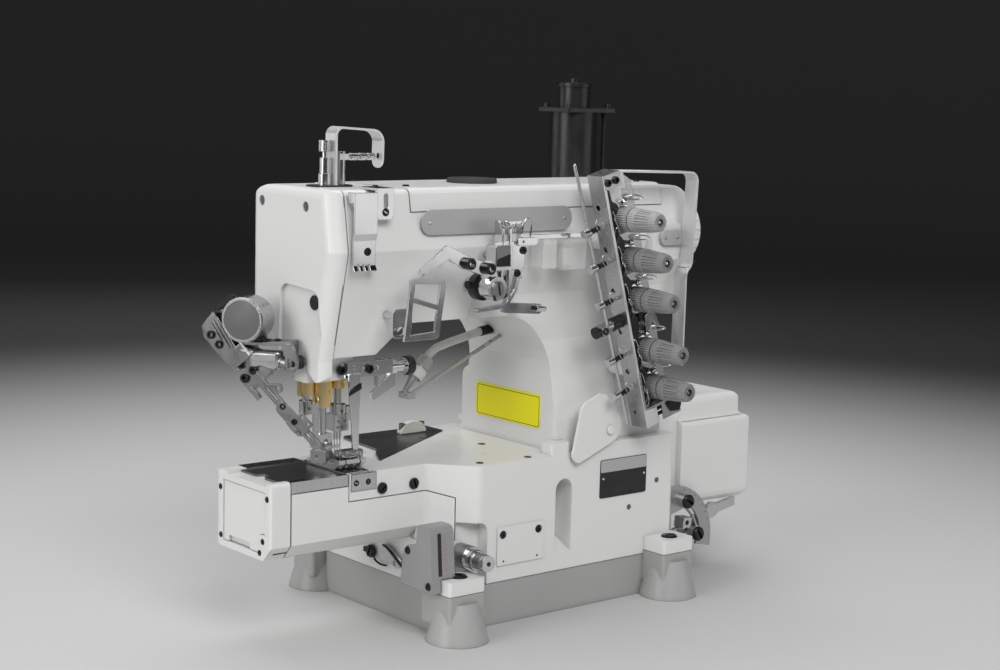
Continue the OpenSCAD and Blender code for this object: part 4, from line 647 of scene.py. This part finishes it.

# its nut: sleeve, groove and grip are thin skins over the turned steel; the groove's black skin is painted
# shade of a recess
nut = edges("differential_nut")
turned("diffNutHole", [(0, 0), (1.9, 0), (1.9, 0.3), (0, 0.3)], (nut.x, nut.y0 - 0.05, nut.z), front,
       "black_paint", blackOxide, "differential_nut")
nutSkins = [("Sleeve", -80, 10, 15.4, darkSteel), ("GrooveShade", -102.4, 8.5, 1.4, blackOxide),
            ("Grip", -104.8, 6.75, 9.8, finishes["oiled_steel"])]
for name, y, r, long, mat in nutSkins:
    skin = [(r + 0.02, 0), (r + 0.4, 0.3), (r + 0.4, long - 0.3), (r + 0.02, long)]
    turned("diffNut" + name, skin, (nut.x, y, nut.z), front, "satin_steel", mat, "differential_nut", 64)

# feed lever sector
sector = {"x": 146, "y": -79, "z": 40, "r": 50, "every": 9, "until": 75, "stops": [(159, 78), (174, 45)]}
screws("sectorStops", "slot", 13.4, 3.4, [(x, -86, z) for x, z in sector["stops"]], front)
ticks = [math.radians(t) for t in range(0, sector["until"], sector["every"])]
screws("sectorTicks", "plain", 1.1, 0.1, [(sector["x"] + sector["r"] * math.cos(t), sector["y"],
                                           sector["z"] + sector["r"] * math.sin(t)) for t in ticks], front,
       mat=blackFilm)
screws("leverBlockHole", "socket", 5, 0.4, [(161.5, -84, 56.8)], front, body="feed_lever")
print("levers dressed")

# head guide and take-up lever
screws("headGuideScrews", "slot", 6.6, 1, [(-209, -80.4, 327), (-192, -80.4, 358)], front)
screws("strapScrews", "cross", 5.4, 1.6, [(-192.5, -66, edges("head_guide").z1)], top)
takeUp = {"body": "take_up_lever", "x": -96, "z": 294, "hubY": -107, "collarY": -80.5}
screws("takeUpScrews", "socket", 9.7, 9, [(-125, -100.4, 316), (-104, -100.4, 311)], front,
       body=takeUp["body"])
turned("takeUpCollar", [(6.2, 0), (11, 0), (11.6, 0.6), (11.6, 8), (8.6, 9), (8.6, 13), (6.2, 13)],
       (takeUp["x"], takeUp["collarY"], takeUp["z"]), front, "black_paint", body=takeUp["body"])
turned("takeUpCollarScrew", [(0, 0), (3.6, 0), (3.6, 4), (3, 4.6), (0, 4.6)], (-107, -85, 296), left,
       "black_paint", blackOxide, takeUp["body"])
screws("takeUpHubScrew", "slot", 13, 2.4, [(takeUp["x"], takeUp["hubY"], takeUp["z"])], front,
       "oiled_steel", finishes["oiled_steel"], takeUp["body"])
plate("takeUpHubSlit", [[(-100.2, 284.4), (-97, 284.2), (-98.6, 289), (-100.8, 289)]], 0.5,
      onFront(takeUp["hubY"]), "black_paint", blackFilm, takeUp["body"], 0.1)
screws("takeUpClampScrew", "socket", 6, 4, [(-86.5, -101, 288)], right, body=takeUp["body"])

# thread guides beside it
twist = {"x": -84, "apart": 7, "d": 1.6}
wire("guideHook", [(-64, -99, 338), (-64, -99.5, 346), (-60, -100, 350.5), (-55, -99.5, 347),
                   (-55, -98.5, 336)], 1.7, "chrome_guides")
for i in range(2):
    x = twist["x"] + twist["apart"] * i
    wire(f"guideTwist_{i + 1}", [(x, -97, 300), (x, -97.5, 332), (x - 1, -98, 341), (x - 6, -99, 349),
                                 (x - 3, -101, 346), (x + 3, -100, 343), (x + 6, -98, 347)], twist["d"],
         "chrome_guides")
screws("guideScrews", "slot", 6.6, 1.6, [(-62, -98.2, 324), (-68, -98.2, 305)], front)
plate("guideCapPlate", [roundRect(-70, 328, -48, 335, 3), circle(-64, 331.5, 1)], 2.4, onFront(-98.4),
      "chrome_guides")
turned("guideEnd", [(0, 0), (2.4, 0), (2.6, 0.5), (2.6, 10), (2, 11), (0, 11)], (-48, -100, 274.5),
       (1, 0, -0.12), "chrome_guides")
plate("guideBlock", [roundRect(-91.6, 311.4, -76.8, 328.6, 1)], 0.9, onFront(-98.6), "oiled_steel",
      edge=0.2)
plate("guideBlockFelt", [[(-91.4, 311.6), (-77, 311.6), (-77, 321.5), (-91.4, 317.5)]], 0.8, onFront(-99.4),
      "black_paint", blackOxide, edge=0.2)
print("thread guides dressed")

# under the head: finger guard and the foot's wires
screws("headPlateScrews", "socket", 7.6, 3.2, [(-201.5, -34, 224.5), (-173, -34, 223.5)], front)
plate("fingerGuardClamp", [roundRect(-196.5, 219.5, -183, 230.5, 1)], 2.4, onFront(-34), "chrome_guides")
screws("fingerGuardScrew", "cross", 4.4, 0.6, [(-189, -36.4, 226)], front, "chrome_guides", satin)
plate("fingerGuard", [[(-195.5, 221), (-194, 200), (-191.5, 176), (-190.4, 157), (-184.6, 157), (-184, 190),
                       (-183.4, 221)]], 1.8, onFront(-35.6), "chrome_guides")
plate("fingerGuardClip", [[(-195.4, 203), (-194.4, 207.5), (-183.2, 213), (-183.2, 208)]], 1.4,
      onFront(-37.4), "black_paint", blackOxide, edge=0.3)
wire("footWire_1", [(-183.6, -39, 148.6), (-184, -39.9, 152.6), (-187, -40.6, 155.6), (-194, -42.5, 154.9),
                    (-202, -44.5, 157.4)], 2, "chrome_guides", body="presser_bar")
wire("footWire_2", [(-186, -39, 148.6), (-187, -39.8, 151.4), (-191, -40.6, 152.7), (-197, -41.2, 152.2),
                    (-205, -43.6, 154.2)], 1.6, "chrome_guides", body="presser_bar")

# presser spring: a round wire coil in place of the CAD one
springSize = {"radius": 5.6, "wire": 1.05, "turns": 9, "lift": 7, "endGap": 1.2}
spring = edges("presser_spring")
tall = spring.z1 - spring.z0
perTurn, around = 20, 8
steps = springSize["turns"] * perTurn
verts = []
for i in range(steps + 1):
    a = 2 * math.pi * i / perTurn
    climb = spring.z0 + springSize["endGap"] + (tall - 2 * springSize["endGap"]) * i / steps
    for k in range(around):
        b = 2 * math.pi * k / around
        r = springSize["radius"] + springSize["wire"] * math.cos(b)
        verts.append(((spring.x + r * math.cos(a)) * mm, (spring.y + r * math.sin(a)) * mm,
                      (climb + springSize["wire"] * math.sin(b)) * mm))
faces = [(i * around + k, (i + 1) * around + k, (i + 1) * around + (k + 1) % around,
          i * around + (k + 1) % around) for i in range(steps) for k in range(around)]
faces += [tuple(range(around)), tuple(reversed(range(steps * around, steps * around + around)))]
presserCoil = meshPiece("presserCoil", verts, faces, home, "spring_steel", smooth=60)
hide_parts("presser_spring")
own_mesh(presserCoil)

# rim of the knurled nut under the head, and the edge guide on the deck
turned("releaseKnobRim", [(5.1, 0), (7.6, 0.6), (8.3, 1.6), (8.3, 7), (7.6, 8), (5.1, 8.4), (5.1, 0)],
       (-128, -22, 221), right, "black_paint")
plate("edgeGuide", [roundRect(-182, 142.2, -158, 149.4, 1.6)], 9, onFront(2), "oiled_steel", edge=0.8)

# hose fittings of the air jet, along the nozzle's slant
airJet = {"start": (-110, 4, 189), "lean": math.radians(40), "collar": 20, "nut": 31}
jetWay = Vector((math.sin(airJet["lean"]), 0, math.cos(airJet["lean"])))
collarAt, nutAt = (Vector(airJet["start"]) + jetWay * airJet[key] for key in ("collar", "nut"))
turned("jetCollar", [(6.05, 0), (7.2, 0.4), (7.6, 1), (7.6, 8), (7, 9.6), (6.05, 10)], collarAt, jetWay,
       "hose_white", paleMoulding)
ridges = [(7 - 0.5 * (i % 2), 1 + i) for i in range(10)]
turned("jetNut", [(6.05, 0), (7, 0.3)] + ridges + [(6.05, 11)], nutAt, jetWay, "satin_steel", greyMoulding)
turned("jetSleeve", [(3.72, 0), (4.4, 0.2), (4.4, 13), (3.72, 13)], (-24, 4, 240.4), (1, 0, 0.12),
       "black_paint", blackOxide)
print("head dressed")

# tension group on its leaning bracket
tension = {"lean": math.radians(16), "posts": [43, 80, 117, 165, 200], "pins": [41, 73, 107, 159, 191],
           "side": 23}
leanCos, leanSin = math.cos(tension["lean"]), math.sin(tension["lean"])
uAxis, vAxis = (leanCos, 0, leanSin), (-leanSin, 0, leanCos)
post = edges("tension_knob_1")


def beside(knob, u, v):
    # x and z of a place beside a knob, u across the bracket and v up it
    return knob.x + u * leanCos - v * leanSin, knob.z + u * leanSin + v * leanCos


def onBracket(u, d, y):
    # u across the bracket from its left wall, d down from its top
    x, z = beside(post, u - tension["side"], tension["posts"][0] - d)
    return x, y, z


def bracketPlate(name, outline, thick, y, slotName, mat=None, edge=0.15):
    # sheet in the bracket's own plane, drawn in u and -d
    plate(name, [outline], thick, facing(onBracket(0, 0, y), front, vAxis), slotName, mat, edge=edge)


for i in range(1, knobs["count"] + 1):
    body = f"tension_knob_{i}"
    knob = edges(body)
    x, z = knob.x, knob.z
    screws(f"knobTip_{i}", "socket", 6, 0.6, [(x, knob.y0 + 2.9, z)], front, "knob_plastic", blackOxide,
           body)
    screws(f"knobStud_{i}", "slot", 3.2, 1.6, [(x - 0.4, knob.y0 + 2.4, z + 0.4)], front, "satin_steel",
           chrome, body)
    screws(f"knobDot_{i}", "plain", 1.3, 0.1, [(x, knob.y0 + 0.12, z + 4.9)], front, body=body)
    ballX, ballZ = beside(knob, 0, 15.5)
    turned(f"threadBall_{i}", [(0, -8), (1.6, -8), (1.6, 1.2), (2.5, 2), (3, 3.6), (2.4, 5.4), (1.2, 6.4),
                               (0, 6.6)], (ballX, -106, ballZ), front, "chrome_guides")
    leafX, leafZ = beside(knob, 19, 13)
    wire(f"threadLeaf_{i}", [(leafX + dx, y, leafZ + dz) for dx, y, dz in (
        (-8, -100, 1), (-2, -103, 2.5), (5, -105, 1.5), (8, -105, -0.5), (3, -103, -1.5), (-4, -101, -1.2),
        (-8, -100, 1))], 1.5, "chrome_guides")
    coil(f"checkSpring_{i}", (x, -99, z), front, 15, 4, 3, 0.9, "spring_steel")
    armX, armZ = beside(knob, -13, 3)
    wire(f"checkWire_{i}", [(x - 7, -101, z), (armX, -104, armZ), (armX - 4, -108, armZ + 6),
                            (armX - 2, -112, armZ + 10), (armX + 1, -110, armZ + 8)], 0.9, "spring_steel")

# black sheet on the channel's web, bulging out between the posts: painted shade of the channel
channelShadeOutline = [(1.55, -12), (7, -12), (8, -22), (13, -26), (14, -29), (9, -34), (8.6, -50), (13, -58), (14, -63),
         (12, -68), (8.6, -72), (8.6, -88), (13, -95), (14, -101), (9, -108), (8.6, -124), (14, -131),
         (14, -140), (10, -146), (12, -152), (8.6, -158), (8.6, -172), (13, -179), (14, -183), (9, -190),
         (8.6, -208), (1.55, -210)]
bracketPlate("channelShadeSheet", channelShadeOutline, 1.6, -110.6, "black_paint", blackOxide, edge=0.2)

# thread wires, hooks, disc rims and pin sleeves at each post
for i, (d, pin) in enumerate(zip(tension["posts"], tension["pins"]), 1):
    wire(f"channelWire_{i}", [onBracket(2, pin - 7, -113.4), onBracket(5, pin - 11, -114),
                              onBracket(7.4, pin - 2, -113.4), onBracket(6, d - 6, -113.4),
                              onBracket(9, d + 5, -113.4), onBracket(7, d + 12, -113.2)], 0.9,
         "spring_steel", chrome)
    wire(f"channelHook_{i}", [onBracket(2.4, pin + 10, -113.6), onBracket(6.4, pin + 4, -114.2),
                              onBracket(8.6, pin + 9, -113.8), onBracket(5, pin + 17, -113.4)], 0.9,
         "spring_steel", chrome)
    turned(f"discRim_{i}", [(10.8, 0), (13.2, 0.2), (13.7, 0.7), (13.2, 1.3), (11.2, 1.6), (13.2, 2.4),
                            (13.7, 3), (13.2, 3.6), (10.8, 3.8), (10.8, 0)],
           onBracket(tension["side"], d, -100.4), front, "chrome_guides", steps=64)
    turned(f"pinSleeve_{i}", [(1.75, 0), (2.6, 0.3), (2.6, 3), (1.8, 3.4), (1.8, 6), (2.6, 6.4), (2.6, 9.4),
                              (1.75, 9.8)], onBracket(-19.6, pin, -109.5), uAxis, "black_paint", blackOxide,
           steps=24)
    wire(f"pinHook_{i}", [onBracket(-3, pin, -109.5), onBracket(-6, pin - 5, -110.5),
                          onBracket(-11, pin - 8, -111), onBracket(-14, pin - 4, -111),
                          onBracket(-12, pin + 2, -112)], 0.9, "spring_steel", chrome)

# clamp of the thread rod
rodClamp = {"d": 130, "y": -104}
turned("rodClampSleeve", [(4.55, 0), (6, 0.4), (6, 9), (4.55, 9)],
       onBracket(-11, rodClamp["d"], rodClamp["y"]), uAxis, "black_paint", steps=32)
screws("rodClampScrew", "socket", 6.6, 1.6, [onBracket(-25, rodClamp["d"], rodClamp["y"] - 8)], front)
turned("rodClampEnd", [(0, 0), (4.6, 0.2), (5.2, 1), (5.2, 4), (0, 4)],
       onBracket(-28.8, rodClamp["d"], rodClamp["y"] - 2), [-c for c in uAxis], "black_paint", steps=32)

# sheet parts of the bracket and the thread plates on it
bracketPlate("topThreadPlate", roundRect(7.4, -32, 25.6, -12.4, 2), 1.2, -105.1, "satin_steel", satinPale,
             0.4)
bracketPlate("topThreadShade", [(3.4, -11), (9, -11), (9, -33.5), (24, -33.5), (24, -36), (3.4, -36)], 2.4,
             -105.1, "black_paint", blackOxide, 0.3)
bracketPlate("wallEdge", [(-1, 3), (1.5, 3), (1.5, -231), (-1, -231)], 0.5, -115.15, "satin_steel",
             satinPale)
bracketPlate("bracketFoot", [(1.5, -215), (15, -216), (15, -231), (1.5, -231)], 1, -114.1, "satin_steel",
             satinPale, 0.3)
bracketPlate("bracketClip", [(27, -217.5), (36, -213.8), (44.6, -213.8), (44.6, -224), (41, -229),
                             (31, -226.5)], 1.6, -114.1, "black_paint", blackOxide, 0.4)
for i, d in enumerate([219.4, 225]):
    turned(f"bracketPin_{i + 1}", [(0, 0), (1.7, 0), (1.7, 12), (1, 12.6), (1, 18), (0, 18)],
           onBracket(14, d, -111.4 + i), uAxis, "black_paint", blackOxide, steps=20)
bracketPlate("lowerThreadPlate", [(30, -136), (38, -134), (44, -140), (46, -150), (43, -151), (39, -144),
                                  (36, -146), (33, -152), (29, -150)], 5, -98.2, "chrome_guides", edge=0.4)
bracketPlate("lowerThreadPad", [(24, -130), (46, -129), (46, -135), (31, -134.5), (24, -140)], 4, -98.2,
             "black_paint", blackOxide, 0.4)
turned("releaseBall", [(0, -9), (1.8, -9), (1.8, -3.6), (3.6, -2.8), (4.8, 0), (4.4, 2.6), (3, 4.2),
                       (0, 4.9)], (post.x - 9, -104, post.z - 18), front, "black_paint")
screws("bracketTabScrews", "socket", 6.6, 2.6, [(15, -116.2, 380), (24, -116.2, 382.5)], front)

# guard strap round the knobs, bent from flat bar
strap = {"line": [(42.2, 389), (142, 386.5), (138, 302), (131.5, 297), (131, 222)],
         "bends": [0, 8.5, 9, 9, 0], "thick": 2, "y": -85, "wide": 15, "footY": -82.1, "rivets": (118, 133),
         "rivetZ": 327}
knobStrap = plate("knobStrap", [bentStrip(strap["line"], strap["bends"], strap["thick"])], strap["wide"],
                  onFront(strap["y"]), "satin_steel", satinPale, edge=0.35)
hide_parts("knob_guard")
for i, (y, wide) in enumerate([(strap["y"], 6), (strap["y"] - 13.9, 1.1)]):  # forked lower end
    plate(f"knobStrapEnd_{i + 1}", [[(129.9, 221), (131.9, 221), (131.5, 211), (129.5, 211)]], wide,
          onFront(y), "satin_steel", satinPale, edge=0.3)
footHoles = [circle(x, strap["rivetZ"], 1) for x in strap["rivets"]]
plate("knobStrapFoot", [roundRect(112, 320, 144, 334, 6.9)] + footHoles, 3.3, onFront(strap["footY"]),
      "satin_steel", badgeSheet, edge=0.4)
plate("knobStrapEar", [[(42.4, 374), (52, 374), (48, 388.6), (42.4, 388.6)]], 1.9, onFront(-98.1),
      "satin_steel", satinPale, edge=0.3)
screws("strapRivets", "plain", 3.6, 0.35,
       [(x, strap["footY"] - 3.3, strap["rivetZ"]) for x in strap["rivets"]], front, "satin_steel", satin)
turned("armFrontHole", [(0, 0), (1.6, 0), (1.6, 0.3), (0, 0.3)], (105, -77.2, 327), front, "black_paint",
       blackOxide)  # in the arm, beside the strap's foot
print("tension group dressed")

# thread wiper, drawn in its own upright plane
wiper = {"place": (-270, 3, 268), "turn": math.radians(58), "disc": 16, "armBack": -6}
wiperCos, wiperSin = math.cos(wiper["turn"]), math.sin(wiper["turn"])
wiperWay = (-wiperSin, -wiperCos, 0)


def onWiper(u, v, w):
    # u along the plane, v behind it, w up it
    x, y, z = wiper["place"]
    return x + u * wiperCos + v * wiperSin, y - u * wiperSin + v * wiperCos, z + w


def wiperPlate(name, outlines, thick, v, edge=0.4, slotName="oiled_steel", mat=darkSteel, body=home):
    plate(name, outlines, thick, facing(onWiper(0, v, 0), wiperWay), slotName, mat, body, edge)


r = wiper["disc"]
turned("wiperDisc", [(0, 0), (r - 0.4, 0), (r, 0.3), (r, 0.7), (r - 0.4, 0.9), (0, 0.9)],
       onWiper(2.9, -12.6, 0), wiperWay, "satin_steel", discGrey)
for i, (u, w) in enumerate([(-30.4, -15.4), (-23, -23)]):
    screws(f"wiperBracketScrew_{i + 1}", "socket", 7, 2.6, [onWiper(u, -0.9, w)], wiperWay)
wiperPlate("wiperSidePlate", [[(-37.6, -12.6), (-37.8, -9), (-36.6, -5), (-34, -1.6), (-28.1, 2.1),
                               (-24.5, -1.4), (-8.5, -24.2), (-4.1, -19.8), (-0.9, -22), (6.4, -28.9),
                               (1, -34.3), (-8, -41.5), (-13.4, -40.2), (-19.8, -35.7), (-31.6, -24.1)]],
           1.4, 0.1)
ribWay, ribSide = Vector((0.578, -0.816)), Vector((-0.816, -0.578))  # down the side plate, and across it
for i, (gap, wide, long) in enumerate([(0, 2.4, 27), (3.1, 2.2, 25.5), (6, 1.4, 17)]):
    start = Vector((-25.4, -1.6)) + ribSide * gap
    side, run = ribSide * wide, ribWay * long
    wiperPlate(f"wiperRib_{i + 1}", [[start, start + side, start + side + run, start + run]], 1.2, -1.2)
wiperPlate("wiperTabEdge", [[(-4.6, -19.4), (-3, -18.6), (6.6, -28.6), (4.8, -30.4)]], 3, -1.2,
           slotName="satin_steel", mat=satinPale)
wiperPlate("wiperFork", [[(36.2, -17.6), (43, -18), (45.6, -24), (48.4, -31), (48, -37.3), (44.4, -40.9),
                          (38.5, -40.4), (36.2, -36)], circle(43, -34.6, 2.4)], 2.4, -0.6, edge=0.5)
wiperPlate("wiperEndPlate", [[(63.5, -102.4), (69.9, -101), (75.6, -102), (75.2, -112.2), (64.5, -113.6)],
                             circle(67.6, -107.4, 1.3)], 1.4, wiper["armBack"], body="wiper_arm")
screws("wiperForkScrew", "socket", 6, 1.6, [onWiper(43, -1, -34.6)], wiperWay)
screws("wiperTopScrews", "socket", 5.4, 2, [onWiper(14, 4, -19), onWiper(27, 4, -17.6)], top)

# hub, screws and plates that swing with the arm, as its end plate does
wiperPlate("wiperHub", [[(4.6, -27.6), (9.6, -25.4), (30.2, -25.2), (31, -27.4), (30.2, -37), (28, -41),
                         (22.8, -41.9), (15.9, -39.8), (8, -43.4), (3.4, -38.6)]], 12, 9.4, 3, mat=satin,
           body="wiper_arm")
for i, (u, w) in enumerate([(1, -49), (8.6, -42)]):
    screws(f"wiperArmScrew_{i + 1}", "socket", 7.6, 3, [onWiper(u, -2, w)], wiperWay, body="wiper_arm")
for i, (u, w) in enumerate([(36.5, -69), (47, -80.8)]):
    screws(f"wiperTipScrew_{i + 1}", "socket", 5.2, 1.2, [onWiper(u, wiper["armBack"], w)], wiperWay,
           body="wiper_arm")
armPlates = [
    ("wiperTipPlate", [[(50, -75.5), (54, -71.5), (64, -82), (60, -86)], circle(54.4, -76.4, 1),
                       circle(59.6, -81.6, 1)], 1.4, 0.3),
    ("wiperTee", [[(39.5, -82), (42, -80), (47, -84.5), (53, -89.6), (51, -92.4), (45, -88)],
                  circle(49.6, -89, 0.9)], 1.2, 0.3),
    ("wiperTab", [[(7, -57), (11, -61), (15, -65.5), (18.4, -62.4), (14, -57.6), (10, -54)]], 3, 0.4),
]
for name, outlines, thick, edge in armPlates:
    wiperPlate(name, outlines, thick, wiper["armBack"], edge, body="wiper_arm")

# its spacer, leads and clip
turned("wiperSpacer", [(4.05, 0), (5.8, 0.3), (5.8, 7.4), (4.05, 7.8)], (-238.5, -31, 234), left,
       "black_paint", steps=32)
for i, (u, w) in enumerate([(-22, 14), (-18, 17)]):
    wire(f"wiperLead_{i + 1}", [onWiper(u + 10, 9, w - 6), onWiper(u + 5, 8, w - 2),
                                onWiper(u, 6, w - 2 + i), onWiper(u - 4, 4, w - 5),
                                onWiper(u - 5, 3, w - 9 - 2 * i)], 2, "black_paint", blackFilm)
wiperPlate("wiperClip", [[(-26, 4), (-16, 12), (-11, 16), (-14, 19), (-22, 14), (-29, 8)]], 4, 6, 0.5,
           "black_paint", blackOxide)
print("thread wiper dressed")
